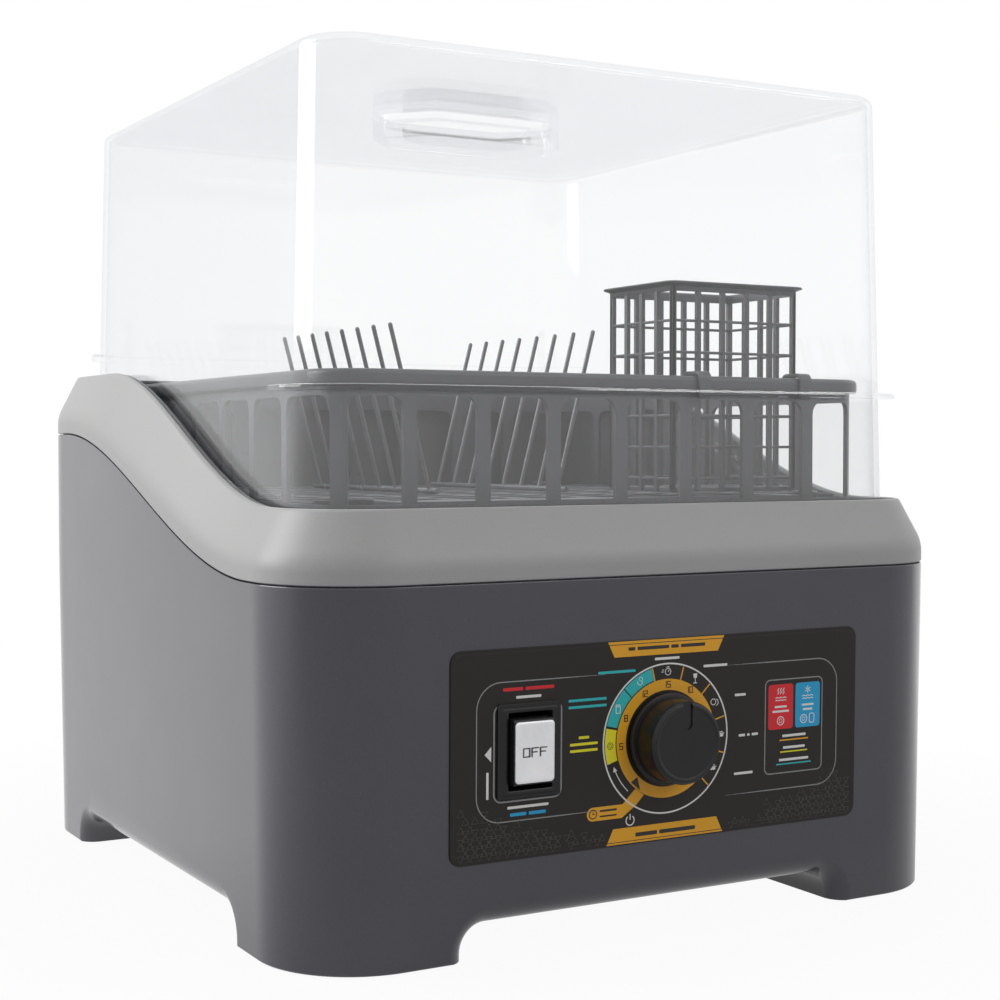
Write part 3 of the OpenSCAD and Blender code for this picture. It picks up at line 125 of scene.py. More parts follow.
class Finish(Tree):
    """A material with one main surface, its patterns laid out in millimetres."""

    def __init__(self, name):
        self.material = bpy.data.materials.new(name)
        self.material.use_nodes = True
        super().__init__(self.material.node_tree)
        self.nodes.clear()
        self.place = self.node("ShaderNodeTexCoord", out=3)

    def spot(self, scale=(1000.0, 1000.0, 1000.0)):
        """The place on the piece, in millimetres unless the scale says another measure."""
        return self.node("ShaderNodeMapping", None, self.place, Scale=scale)

    def noise(self, size, detail=2.0, rough=0.5):
        """Cloudy noise whose lumps are about size millimetres wide."""
        return self.node("ShaderNodeTexNoise", None, self.spot(), Scale=1.0 / size, Detail=detail,
                         Roughness=rough)

    def fade(self, value, to_low, to_high, low=0.3, high=0.7):
        """Carries a value's range from low to high over to another range."""
        return self.node("ShaderNodeMapRange", {"clamp": True}, value, low, high, to_low, to_high)

    def mix(self, share, first, second):
        """First colour at share 0, second at share 1."""
        return self.node("ShaderNodeMix", {"data_type": "RGBA"}, at={0: share, 6: first, 7: second}, out=2)

    def blend(self, pattern, first, second, low=0.3, high=0.7):
        """Two colours shared out by a pattern."""
        return self.mix(self.fade(pattern, 0.0, 1.0, low, high), first, second)

    def bump(self, height, strength, depth_mm):
        return self.node("ShaderNodeBump", None, Strength=strength, Distance=depth_mm / 1000.0,
                         Height=height)

    def plain(self, colour, roughness, **more):
        """A principled surface."""
        return self.node("ShaderNodeBsdfPrincipled", None, Base_Color=colour, Roughness=roughness, **more)

    def surface(self, shader):
        self.end("ShaderNodeOutputMaterial", shader)
        return self.material


for name, place, aim_height, size, power, in_gloss in (
        ("left_softbox", (-2.4, 1.4, 1.5), 0.20, (2.0, 2.0), 66.0, True),
        ("front_softbox", (0.9, -2.9, 1.7), 0.15, (2.0, 1.6), 10.0, False),
        ("top_softbox", (0.0, 0.2, 3.0), 0.20, (2.4, 2.4), 30.0, False),
        ("strip_lamp", (1.5, -2.4, 1.9), 0.25, (1.6, 0.22), 9.0, True)):
    data = bpy.data.lights.new(name, "AREA")
    data.shape, data.energy = "RECTANGLE", power
    data.size, data.size_y = size
    put(name, data, place, Vector((0.0, 0.0, aim_height)) - Vector(place)).visible_glossy = in_gloss

# The surround is white where it is seen and dimmer as a light.
world = bpy.data.worlds.new("surround")
world.use_nodes = True
bpy.context.scene.world = world
sky = Tree(world.node_tree)
sky.nodes.clear()
sky.end("ShaderNodeOutputWorld", sky.node(
    "ShaderNodeBackground", None, (1.0, 1.0, 1.0), sky.seen() * 0.68 + 0.32))

# The floor is white where it is seen, a little matt round the feet, and less bright in the gloss
# of the casing's front.
floor_mesh = bpy.data.meshes.new("floor")
floor_mesh.from_pydata([(-30, -30, 0), (30, -30, 0), (30, 30, 0), (-30, 30, 0)], [], [(0, 1, 2, 3)])
floor = put("floor", floor_mesh)
ground = Finish("pale_floor")
behind = ground.node("ShaderNodeSeparateXYZ", None, ground.place, out=1)
distance = ground.node("ShaderNodeVectorMath", {"operation": "LENGTH"}, ground.place, out=1)
front_dim = ground.fade(behind, 0.35, 1.0, -0.35, 0.10)
shown = ground.seen(front_dim) * ground.fade(distance, 0.95, 1.0, 0.26, 0.58)
matt = ground.node("ShaderNodeBsdfDiffuse", None, (0.45, 0.45, 0.46))
lit = ground.node("ShaderNodeEmission", None, (1.0, 1.0, 1.0), 1.0)
floor_mesh.materials.append(ground.surface(ground.node("ShaderNodeMixShader", None, shown, matt, lit)))

# ---- Casing ----
# One dark grey moulding with fine flake in its gloss: four leaning walls that end below the trim
# in an S-curve, standing on four hollow feet with rolled arches between them.

body_w, body_d, corner_r, draft, wall = 400.0, 430.0, 54.0, 2.2, 3.0
seam_low, seam_rise, seam_start, seam_end = 181.0, 72.0, -150.0, 150.0
arch_h, arch_r, roll_r, under = 17.0, 13.0, 11.0, -4.0


def ease(t):
    t = np.clip(t, 0.0, 1.0)
    return t * t * (3.0 - 2.0 * t)


def seam(y):
    return seam_low + seam_rise * ease((y - seam_start) / (seam_end - seam_start))


def bend(x, y, r, start, end, steps):
    """Points along an arc between two angles in degrees, both ends included."""
    turns = np.radians(np.linspace(start, end, steps + 1))
    return [(x + r * math.cos(a), y + r * math.sin(a)) for a in turns]


def circle(x, y, r, sides):
    return bend(x, y, r, 0.0, 360.0, sides)[:-1]


def outline(w, d, r, cy=0.0, arc=16, side=1, face=1):
    """Points and outward directions round a rounded rectangle, anticlockwise from above.
    The left and right sides are cut in side steps, the front and the back in face steps."""
    points, away = [], []
    for sx, sy, start in ((1, 1, 0), (-1, 1, 90), (-1, -1, 180), (1, -1, 270)):
        cx, cz = sx * (w / 2 - r), sy * (d / 2 - r)
        turns = bend(0.0, 0.0, 1.0, start, start + 90.0, arc)
        away += turns
        points += [(cx + r * x, cy + cz + r * y) for x, y in turns]
        steps = face if sx == sy else side
        for u in [1 - 2 * i / steps for i in range(1, steps)]:
            points.append((cx * u, cy + cz + sy * r) if sx == sy else (cx + sx * r, cy + cz * u))
            away.append((0, sy) if sx == sy else (sx, 0))
    return np.array(points), np.array(away)


def new_object(name, points, faces):
    """A mesh object from points in millimetres, its doubles merged and its faces pointing out."""
    mesh = bpy.data.meshes.new(name)
    mesh.from_pydata([tuple(float(c) * 0.001 for c in p) for p in points], [], faces)
    work = bmesh.new()
    work.from_mesh(mesh)
    bmesh.ops.remove_doubles(work, verts=work.verts, dist=1e-6)
    bmesh.ops.recalc_face_normals(work, faces=work.faces)
    if work.calc_volume(signed=True) < 0:
        bmesh.ops.reverse_faces(work, faces=work.faces)
    work.to_mesh(mesh)
    work.free()
    return put(name, mesh)


def loft(rings, closed=False, caps=True):
    """Faces through rings of equally many points."""
    n, k = len(rings[0]), len(rings)
    faces = []
    for i in range(k if closed else k - 1):
        a, b = i * n, ((i + 1) % k) * n
        faces += [(a + j, a + (j + 1) % n, b + (j + 1) % n, b + j) for j in range(n)]
    if caps and not closed:
        faces += [tuple(range(n - 1, -1, -1)), tuple((k - 1) * n + j for j in range(n))]
    return np.concatenate(rings), faces


def at_height(points, z):
    return np.column_stack([points, np.broadcast_to(z, len(points))])


def join(name, pieces):
    """Gathers pieces into one object."""
    gather = bmesh.new()
    for piece in pieces:
        gather.from_mesh(piece.data)
        bpy.data.objects.remove(piece)
    mesh = bpy.data.meshes.new(name)
    gather.to_mesh(mesh)
    gather.free()
    return put(name, mesh)


def settle(piece):
    """Turns the piece's modifiers into plain mesh."""
    bpy.context.view_layer.update()
    graph = bpy.context.evaluated_depsgraph_get()
    mesh = bpy.data.meshes.new_from_object(piece.evaluated_get(graph), preserve_all_data_layers=True,
                                           depsgraph=graph)
    piece.modifiers.clear()
    piece.data = mesh
    return piece


def cut(piece, *tools, operation="DIFFERENCE"):
    """Cuts the tools out of the piece, or joins them to it, and removes them."""
    for tool in tools:
        step = piece.modifiers.new("cut", "BOOLEAN")
        step.object, step.operation, step.solver = tool, operation, "EXACT"
    settle(piece)
    for tool in tools:
        bpy.data.objects.remove(tool)


def smooth(piece, angle, bevel=0.0, segments=2, bevel_angle=40.0):
    """Rounds the edges if a bevel is given, then shades the piece smooth up to the angle."""
    if bevel:
        step = piece.modifiers.new("edge", "BEVEL")
        step.width, step.segments, step.harden_normals = bevel / 1000.0, segments, False
        step.limit_method, step.angle_limit = "ANGLE", math.radians(bevel_angle)
        settle(piece)
    piece.data.shade_smooth()
    piece.data.set_sharp_from_angle(angle=math.radians(angle))
    step = piece.modifiers.new("flat", "WEIGHTED_NORMAL")
    step.keep_sharp, step.weight = True, 60
    return settle(piece)


def dress(piece, material):
    piece.data.materials.clear()
    piece.data.materials.append(material)
    for polygon in piece.data.polygons:
        polygon.material_index = 0


def block(x0, x1, y0, y1, z0, z1):
    """A plain cutting block."""
    corners = [(x, y, z) for x in (x0, x1) for y in (y0, y1) for z in (z0, z1)]
    return new_object("block", corners, [(0, 1, 3, 2), (4, 6, 7, 5), (0, 4, 5, 1), (2, 3, 7, 6),
                                         (0, 2, 6, 4), (1, 5, 7, 3)])


def rod(radius, start, end, sides=48):
    """A plain cutting rod between two points."""
    start, end = Vector(start), Vector(end)
    turn_to = (end - start).to_track_quat("Z", "Y").to_matrix()
    return new_object("rod", *loft([np.array([
        centre + turn_to @ Vector((x, y, 0)) for x, y in circle(0.0, 0.0, radius, sides)])
        for centre in (start, end)]))


def casing_ring(z, inset, up=None):
    """One ring of the casing's wall: at a height or, with up, at a share of the way to the seam."""
    points, away = outline(body_w, body_d, corner_r, arc=20, side=96, face=24)
    height = np.full(len(points), z) if up is None else 1.0 + z * (seam(points[:, 1]) + up - 1.0)
    lean = draft * np.clip(1.0 - (height - 1.0) / (seam_low - 1.0), 0.0, 1.0)
    return at_height(points - away * (lean + inset)[:, None], height)


def arch_tunnel(half_width, length, along_x, lower=0.0):
    """An arch between two feet: a flat-topped tunnel whose mouths roll out to the leaning wall.
    Two tunnels that cross need roofs at slightly different heights."""
    half, roof, foot = length / 2 - draft - roll_r, arch_h - lower - arch_r, under - lower
    stops = [(-half - roll_r - 6.0, roll_r)]
    stops += [(-half - s, roll_r - e) for e, s in bend(0, 0, roll_r, 90, 0, 12)]
    rings = []
    for s, e in stops + [(-s, e) for s, e in reversed(stops)]:
        near = max(0.0, min(1.0, (abs(s) - half + 1.0) / roll_r))
        ring = [(half_width + e, foot)] + bend(half_width - arch_r, roof, arch_r + e, 0, 90, 12)
        ring += bend(arch_r - half_width, roof, arch_r + e, 90, 180, 12) + [(-half_width - e, foot)]
        made = []
        for across, z in ring:
            out = s + math.copysign(near * draft * (z - 1.0) / (seam_low - 1.0), s)
            made.append((out, across, z) if along_x else (across, -out, z))
        rings.append(np.array(made))
    return new_object("arch", *loft(rings))


opening, _ = outline(196.0, 220.0, 12.0, arc=20, side=96, face=24)
casing = new_object("casing", *loft([casing_ring(*ring) for ring in (
    (1.0, 0.6), (1.6, 0.0), (0.15, 0.0, 0.0), (0.4, 0.0, 0.0), (0.7, 0.0, 0.0), (0.9, 0.0, 0.0),
    (1.0, 0.0, -0.9), (1.0, 0.25, -0.3), (1.0, 0.9, 0.0), (1.0, wall, 0.0), (0.6, wall, 0.0), (24.0, wall))]
    + [at_height(opening, 24.0), at_height(opening, 1.0)], closed=True))
cut(casing, arch_tunnel(113.0, body_d + 0.3, False), arch_tunnel(125.0, body_w + 0.3, True, 0.11))
# Holes for the foot pads, the rear slits, the rear fittings, the dial's shaft, the switch and the screws.
tools = [rod(14.1, (x, y, -2), (x, y, 3.2), 64) for x in (-158, 158) for y in (-172, 172)]
tools += [block(-45, 25, 208, 218, 60 + 8 * i, 63.5 + 8 * i) for i in range(7)]
tools += [rod(r, (x, 205, z), (x, 218, z), 64)
          for x, z, r in ((-130, 54, 13.5), (133, 70, 9.6), (90, 50, 8.1))]
tools += [rod(6.3, (0, -218, 99), (0, -205, 99)), block(-95, -66, -219, -205, 81, 119)]
tools += [rod(1.6, (x, y, 15), (x, y, 23), 24) for x in (-103, 0, 103) for y in (-115, 0, 115) if x or y]
cut(casing, join("holes", tools))
smooth(casing, 28.0)


def tinted(colour, share, lift=0.0):
    return tuple(min(1.0, c * share + lift) for c in colour)


def moulded(name, colour, flake, roughness, coat=0.0, grain=0.35, patch=0.06):
    """Moulded plastic: fine flake, faint cloudiness, a little orange peel in the gloss."""
    f = Finish(name)
    fine, cloud = f.noise(grain, 2.0, 0.6), f.noise(60.0, 3.0, 0.55)
    tone = f.blend(cloud, tinted(colour, 1 - patch), tinted(colour, 1 + patch))
    bright = f.mix(f.fade(fine, 0.0, flake, 0.52, 0.72), tone, tinted(colour, 2.6, 0.02))
    peel = f.bump(f.noise(2.2, 2.0, 0.5) + fine * 0.35, 0.18, 0.03)
    more = {"Coat_Weight": coat, "Coat_Roughness": 0.08} if coat else {}
    return f.surface(f.plain(bright, f.fade(cloud, roughness - 0.03, roughness + 0.03), Normal=peel, **more))


dress(casing, moulded("flaked_casing_plastic", (0.041, 0.039, 0.053), 0.30, 0.34, coat=0.75))
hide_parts("housing", "casing_floor", "casing_corners")
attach(casing, "base")

# ---- Trim ring ----
# A silver grey ring clipped over the casing: an upright band above the seam, a soft bend, and a
# slope that climbs inwards to a thin rounded crest with a lip turned down inside.

crest_low, crest_rise, crest_end, band_to_crest = 216.5, 73.0, 100.0, 34.0
trim_inset, lip_h, band_h, seam_gap = 16.0, 7.0, 10.0, 0.6


def crest(y):
    return crest_low + crest_rise * ease((y - seam_start) / (crest_end - seam_start))


def soften(before, here, after, steps):
    """A curve in place of a corner."""
    return [(1 - t) ** 2 * before + 2 * t * (1 - t) * here + t * t * after
            for t in np.linspace(0, 1, steps + 1)]


def rounded_section(corners):
    """A closed section with each corner, given as a point and its rounding, turned to a curve."""
    made = []
    for k, (point, cut_back) in enumerate(corners):
        point, ends = np.array(point, float), []
        for other in (corners[k - 1][0], corners[(k + 1) % len(corners)][0]):
            reach = np.linalg.norm((other - point)[[0, -1]])
            if other[1] != point[1]:
                reach = np.hypot(other[0] - point[0], band_to_crest)
            ends.append(point + (other - point) * min(0.49, cut_back / reach))
        made += soften(ends[0], point, ends[1], 6)
    return made


def swept(section):
    """Rings round the casing; each point has an inset, a share of the crest and a rise."""
    points, away = outline(body_w, body_d, corner_r, arc=20, side=140, face=2)
    low, high = seam(points[:, 1]), crest(points[:, 1])
    return [at_height(points - away * inset, low * (1 - share) + high * share + rise)
            for inset, share, rise in section]


trim = new_object("trim", *loft(swept(rounded_section([
    ((0.0, 0, seam_gap), 0.7), ((0.0, 0, band_h + 1.5), 8.0), ((trim_inset - 3.6, 1, -0.6), 1.6),
    ((trim_inset - 2.2, 1, 0.0), 0.8), ((trim_inset - 0.4, 1, -0.1), 0.9), ((trim_inset, 1, -lip_h), 0.4),
    ((trim_inset - 2.4, 1, -lip_h), 0.4), ((trim_inset - 2.6, 1, -4.2), 0.8),
    ((wall + 2.5, 0, band_h + 3.0), 3.0), ((wall + 2.5, 0, -8.0), 0.4), ((wall + 0.3, 0, -8.0), 0.4),
    ((wall + 0.3, 0, seam_gap), 0.3)])), closed=True))
smooth(trim, 40.0)
dress(trim, moulded("silver_trim_plastic", (0.385, 0.385, 0.382), 0.14, 0.42, grain=0.30, patch=0.02))
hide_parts("trim_ring")
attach(trim, "base")

# ---- Tub ----
# A dark grey moulding that hangs inside the casing: a rim just inside the trim, a ledge that carries
# the lid's seal, and a basin with a level floor for the filter, the spray column and the heater.

ledge, rim_out, rim_in, plate_out = 12.0, 16.3, 18.8, 10.5
tub_floor, tub_t, basin_y, heater_r = 165.0, 2.5, -6.5, 105.0


def basin_ring(grow, z=None, rise=None):
    points, _ = outline(350.8 + 2 * grow, 357.0 + 2 * grow, 30.0 + grow, basin_y, arc=20, side=140, face=2)
    return at_height(points, crest(points[:, 1]) + rise if z is None else z)


tub = new_object("tub_basin", *loft(
    [basin_ring(g, tub_floor + z) for g, z in ((-7.0, 0.0), (-3.5, 0.9), (-1.0, 3.4), (0.0, 7.0))]
    + [basin_ring(g, rise=-ledge - z) for g, z in ((0.0, 3.0), (0.4, 0.6), (1.2, 0.0))]
    + swept([(inset, 1, rise) for inset, rise in (
        (rim_in, -ledge), (rim_in, -1.4), (rim_in - 0.5, -0.7), (rim_out + 0.5, -0.7), (rim_out, -1.4),
        (rim_out, -ledge), (plate_out, -ledge), (plate_out, -ledge - tub_t))])
    + [basin_ring(tub_t, rise=-ledge - tub_t)]
    + [basin_ring(tub_t - g, tub_floor + z) for g, z in ((0.0, 4.0), (2.5, -0.6), (6.0, -tub_t))]))
cut(tub, rod(42.0, (78, -70, 150), (78, -70, 180), 96), rod(13.2, (0, basin_y, 150), (0, basin_y, 180)),
    rod(6.1, (-130, 165, 189), (-130, 180, 189)),
    *[rod(3.8, (x, y, 150), (x, y, 180), 32)
      for a in (0, 275) for x, y in bend(0.0, basin_y, heater_r, a, a, 0)])
cut(tub, rod(3.0, (-130, 115, 164), (-130, 115, 192), 32), operation="UNION")
smooth(tub, 30.0)
dress(tub, moulded("tub_plastic", (0.080, 0.081, 0.086), 0.10, 0.36, grain=0.5))
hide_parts("tub")
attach(tub, "base")

# ---- Lid ----
# One clear moulding with walls that lean out a little as they go down to the seal. A lip round the
# front is its grip, a flange hooks over the back of the trim, and the top has a stepped pocket. The
# plastic is thin and clear, so it shows by its reflections.

lid_top, lid_w, lid_d, lid_y, lid_lean, lid_r, lid_t = 441.0, 349.5, 357.0, -6.0, 0.0255, 28.0, 3.0
lid_fillet, lid_foot, lid_straight = 5.5, 10.0, 60.0


def lid_ring(grow, z=None, rise=None):
    """A ring of the lid's wall: at a height, or at a rise above the crest."""
    points, away = outline(lid_w, lid_d, lid_r, lid_y, arc=16, side=110, face=4)
    height = crest(points[:, 1]) + rise if z is None else np.full(len(points), float(z))
    out = lid_lean * np.clip(lid_top - lid_fillet - height, 0.0, None) + grow
    return at_height(points + away * out[:, None], height)


edge_of_top = (-lid_fillet, lid_top - lid_fillet)
outer = [lid_ring(0.0, rise=-lid_foot), lid_ring(0.0, lid_top - lid_straight)]
outer += [lid_ring(g, z) for g, z in bend(*edge_of_top, lid_fillet, 0, 90, 8)]
inner = [lid_ring(g, z) for g, z in bend(*edge_of_top, lid_fillet - lid_t, 90, 0, 8)]
inner += [lid_ring(-lid_t, lid_top - lid_straight), lid_ring(-lid_t, rise=-lid_foot)]
middle = [lid_ring(-2 * lid_fillet, z) for z in (lid_top, lid_top - lid_t)]
points, faces = loft(outer + middle + inner, closed=True)
# The two middle rings end the outer and the inner skin of the top, so faces close each of them.
n, k = len(outer[0]), len(outer)
faces[k * n:(k + 1) * n] = []
faces += [tuple(range(k * n, (k + 1) * n)), tuple(range((k + 1) * n, (k + 2) * n))]
lid = new_object("lid_cover", points, faces)


def octagon(w, d, c, z):
    """A ring of a rectangle with cut corners, its corners softened."""
    w, d, round_off = w / 2, d / 2, 3.0
    corners = [np.array(corner) for corner in (
        (w, -d + c), (w, d - c), (w - c, d), (-w + c, d), (-w, d - c), (-w, -d + c), (-w + c, -d),
        (w - c, -d))]
    ring = []
    for k, here in enumerate(corners):
        ring += soften(*[here + (other - here) / (np.linalg.norm(other - here) or 1.0) * round_off
                         for other in (corners[k - 1], here, corners[(k + 1) % 8])], 4)
    return at_height(np.array(ring) + (0, lid_y), lid_top - z)


pocket = [octagon(118 - 2 * i, 60 - 2 * i, 21 - 0.5 * i, z)
          for i, z in ((0, 1.5), (0, 14.0), (0.7, 16.4), (2.5, 17.0))]
cut(lid, new_object("pocket_wall", *loft(pocket)), operation="UNION")
cut(lid, new_object("pocket_hollow", *loft([octagon(*ring) for ring in (
    (116.0, 58.0, 21.5, -2.0), (114.4, 56.4, 20.8, 0.0), (112.4, 54.4, 20.2, 1.2), (111.6, 53.6, 20.0, 5.4),
    (110.0, 52.0, 19.6, 6.0), (86.0, 38.0, 14.0, 6.0), (84.4, 36.4, 13.6, 6.8), (83.0, 35.0, 13.2, 13.2),
    (81.0, 33.0, 12.6, 14.0))])))

lip_z, lip_out, flange_z, flange_back = 272.0, 9.0, 299.0, 4.0
lip = new_object("grip_lip", *loft([lid_ring(g, lip_z + z) for g, z in (
    (-1.0, 0.0), (lip_out - 1.2, 0.0), (lip_out - 0.35, 0.4), (lip_out, 1.5), (lip_out - 0.35, 2.6),
    (lip_out - 1.2, 3.0), (-1.0, 3.0))], closed=True))
cut(lip, block(-300, 300, -150, 300, 260, 290))
flange = new_object("rear_flange", *loft([lid_ring(g, flange_z + z) + (0, flange_back, 0) for g, z in (
    (-4.5, 0.0), (3.4, 0.0), (4.0, 0.6), (4.0, 3.9), (3.4, 4.5), (-4.5, 4.5))], closed=True))
cut(flange, block(-300, 300, -300, 150, 280, 320))
cut(lid, lip, flange, operation="UNION")
smooth(lid, 30.0)


def clear_plastic(name, index=1.49):
    """Clear moulded plastic: it lets light through, reflects more at a glance, and veils a little."""
    f = Finish(name)
    cloud = f.noise(90.0, 2.0, 0.5)
    ripple = f.bump(f.noise(45.0, 2.0, 0.5), 0.12, 0.3)
    entering = f.node("ShaderNodeFresnel", None, IOR=index)
    leaving = f.node("ShaderNodeFresnel", None, IOR=1.0 / index)
    inside = f.node("ShaderNodeNewGeometry", None, out=6)
    edge = entering * (1.0 - inside) + leaving * inside
    grazing = f.node("ShaderNodeLayerWeight", None, Blend=0.5, out=1) ** 4.0
    through = f.node("ShaderNodeBsdfTransparent", None,
                     f.mix(grazing, (0.991, 0.992, 0.994), (0.79, 0.81, 0.84)))
    mirror = f.plain((1.0, 1.0, 1.0), f.fade(cloud, 0.03, 0.07), Metallic=1.0, Normal=ripple)
    clear = f.node("ShaderNodeMixShader", None, edge, through, mirror)
    height = f.node("ShaderNodeSeparateXYZ", None, f.place, out=2)
    haze = f.fade(height, 0.030, 0.0, 0.2705, 0.2720) + f.fade(cloud, 0.002, 0.006)
    milk = f.plain((0.90, 0.91, 0.92), 0.5)
    return f.surface(f.node("ShaderNodeMixShader", None, haze, clear, milk))


dress(lid, clear_plastic("clear_lid_plastic"))
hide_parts("lid")
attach(lid, "lid")

# ---- Plate rack ----
# A dark grey moulded tray on four legs: a bullnose rim, walls cut into tall slots with rounded tops,
# and an open grid floor. It stands on the tub floor and lifts out.

rack_w, rack_d, rack_y, rack_top, rack_floor, rack_skin = 338.0, 344.0, -6.0, 283.0, 215.0, 2.5
rim_h, slot_low, slot_high, slot_r, slot_step = 7.5, 217.2, 270.5, 7.0, 3.5
half_w, half_d, turn_r = rack_w / 2 - 4, rack_d / 2 - 4, 22.0
front_pitch, front_rib, side_pitch, side_rib, post_rib = 41.0, 3.75, 44.0, 3.25, 4.5
face_run, side_run, arc_run = half_w - turn_r, half_d - turn_r, turn_r * math.pi / 2
to_side = face_run + arc_run + side_run


def round_wall(s):
    """The place on the rack's wall at a distance s round it from the middle of its front."""
    s = s % (4 * to_side)
    if s > 2 * to_side:
        x, y = round_wall(4 * to_side - s)
        return -x, y
    if s > to_side:
        x, y = round_wall(2 * to_side - s)
        return x, -y
    if s <= face_run:
        return s, -half_d
    if s > face_run + arc_run:
        return half_w, s - to_side
    a = (s - face_run) / turn_r
    return face_run + turn_r * math.sin(a), -side_run - turn_r * math.cos(a)


def rack_wall():
    """The outer skin of the rack's wall as quads: columns between ribs, each slot's top rounded."""
    quarter = [(front_pitch * k, front_rib) for k in range(4)] + [(face_run + arc_run / 2, post_rib)]
    quarter += [(to_side + side_pitch * (k - 2.5), side_rib) for k in range(3)]
    half = quarter + [(2 * to_side - s, rib) for s, rib in reversed(quarter)]
    ribs = half + [(4 * to_side - s, rib) for s, rib in reversed(half[1:-1])]
    top, spring = rack_top - rim_h + 1.0, slot_high - slot_r
    foot = [(rack_floor,) * 2, (slot_low,) * 2]
    solid = foot + [(spring,) * 2, (top,) * 2]
    quads = []
    for (s0, rib0), (s1, rib1) in zip(ribs, ribs[1:] + [(4 * to_side, ribs[0][1])]):
        low, high = s0 + rib0, s1 - rib1
        arcs = [(slot_r - d, spring + z) for d, z in bend(0, 0, slot_r, 0, 90, 6)]
        flat = high - low - 2 * slot_r
        steps = max(2, int(flat / slot_step))
        columns = [(low + d, z) for d, z in arcs]
        columns += [(low + slot_r + flat * k / steps, slot_high) for k in range(1, steps)]
        columns += [(high - d, z) for d, z in reversed(arcs)]
        bands = [(s0, low, solid)]
        for (a, za), (b, zb) in zip(columns, columns[1:]):
            bands += [(a, b, foot), (a, b, [(za, zb), (top,) * 2])]
        for a, b, levels in bands + [(high, s1, solid)]:
            (xa, ya), (xb, yb) = round_wall(a), round_wall(b)
            for (l0, l1), (h0, h1) in zip(levels, levels[1:]):
                quads.append([(x, y + rack_y, z) for x, y, z in (
                    (xa, ya, l0), (xb, yb, l1), (xb, yb, h1), (xa, ya, h0))])
    return quads


def from_quads(name, quads):
    return new_object(name, [p for quad in quads for p in quad],
                      [tuple(range(s, s + 4)) for s in range(0, 4 * len(quads), 4)])


def thicken(piece, thickness):
    step = piece.modifiers.new("wall", "SOLIDIFY")
    step.thickness, step.offset, step.use_even_offset = thickness / 1000.0, -1.0, True
    return settle(piece)


skin = from_quads("rack_skin", rack_wall())
work = bmesh.new()
work.from_mesh(skin.data)
for face in work.faces:
    away = face.calc_center_median() - Vector((0, rack_y / 1000, 0.25))
    if face.normal.dot(Vector((away.x, away.y, 0))) < 0:
        face.normal_flip()
work.to_mesh(skin.data)
work.free()
smooth(thicken(skin, rack_skin), 35.0, bevel=0.55, segments=2, bevel_angle=50.0)


def rack_ring(inset, z):
    points, _ = outline(rack_w - 2 * inset, rack_d - 2 * inset, max(26.0 - inset, 4.0), rack_y, arc=14)
    return at_height(points, rack_top + z)


rim = smooth(new_object("rack_rim", *loft([rack_ring(*ring) for ring in (
    (6.4, -rim_h - 1.0), (4.0, -rim_h - 1.0), (3.6, -rim_h), (0.8, -rim_h), (0.2, -rim_h + 0.5),
    (0.0, -rim_h + 1.2), (0.0, -2.4), (0.35, -1.3), (1.1, -0.45), (2.2, 0.0), (4.4, 0.0), (5.6, -0.4),
    (6.3, -1.3), (6.5, -2.6))], closed=True)), 50.0)


def grid_floor(rise=3.5):
    """The floor: a plate with a window in each cell, as flat quads."""
    across = [-163.5] + [c + s * 18.0 for c in (np.arange(8) - 3.5) * 41.0 for s in (-1, 1)] + [163.5]
    along = [-167.0] + [c + s * 12.0 for c in (np.arange(10) - 4.5) * 29.0 for s in (-1, 1)] + [167.0]
    quads = []
    for i, (x0, x1) in enumerate(zip(across, across[1:])):
        for j, (y0, y1) in enumerate(zip(along, along[1:])):
            window, corner = i % 2 and j % 2, abs(x0 + x1) > 286 and abs(y0 + y1) > 300
            if not window and not corner:
                quads.append([(x, y + rack_y, rack_floor + rise) for x, y in (
                    (x0, y0), (x1, y0), (x1, y1), (x0, y1))])
    return quads


grid = smooth(thicken(from_quads("rack_grid", grid_floor()), 3.5), 35.0, bevel=0.5, segments=1)
leg_section = ((4.8, 165.3), (5.8, 165.9), (6.0, 167.0), (6.0, 214.0), (7.5, 216.5), (7.5, 219.5),
               (6.6, 220.3))
legs = [smooth(new_object("leg", *loft([at_height(circle(x, y, r, 24), z) for r, z in leg_section])), 40.0)
        for x in (-140, 140) for y in (-151, 139)]
rack = join("plate_rack_tray", [skin, rim, grid] + legs)
rack_plastic = moulded("rack_plastic", (0.080, 0.082, 0.088), 0.06, 0.33, grain=0.4)
dress(rack, rack_plastic)
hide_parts("plate_rack", "rack_walls", "rack_grid")
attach(rack, "rack")

# ---- Plate tines ----
# Two rows of coated wires that lean away from each other, each row on a foot rail laid on the rack's
# floor. The rows repeat, so a node tree sets them out.


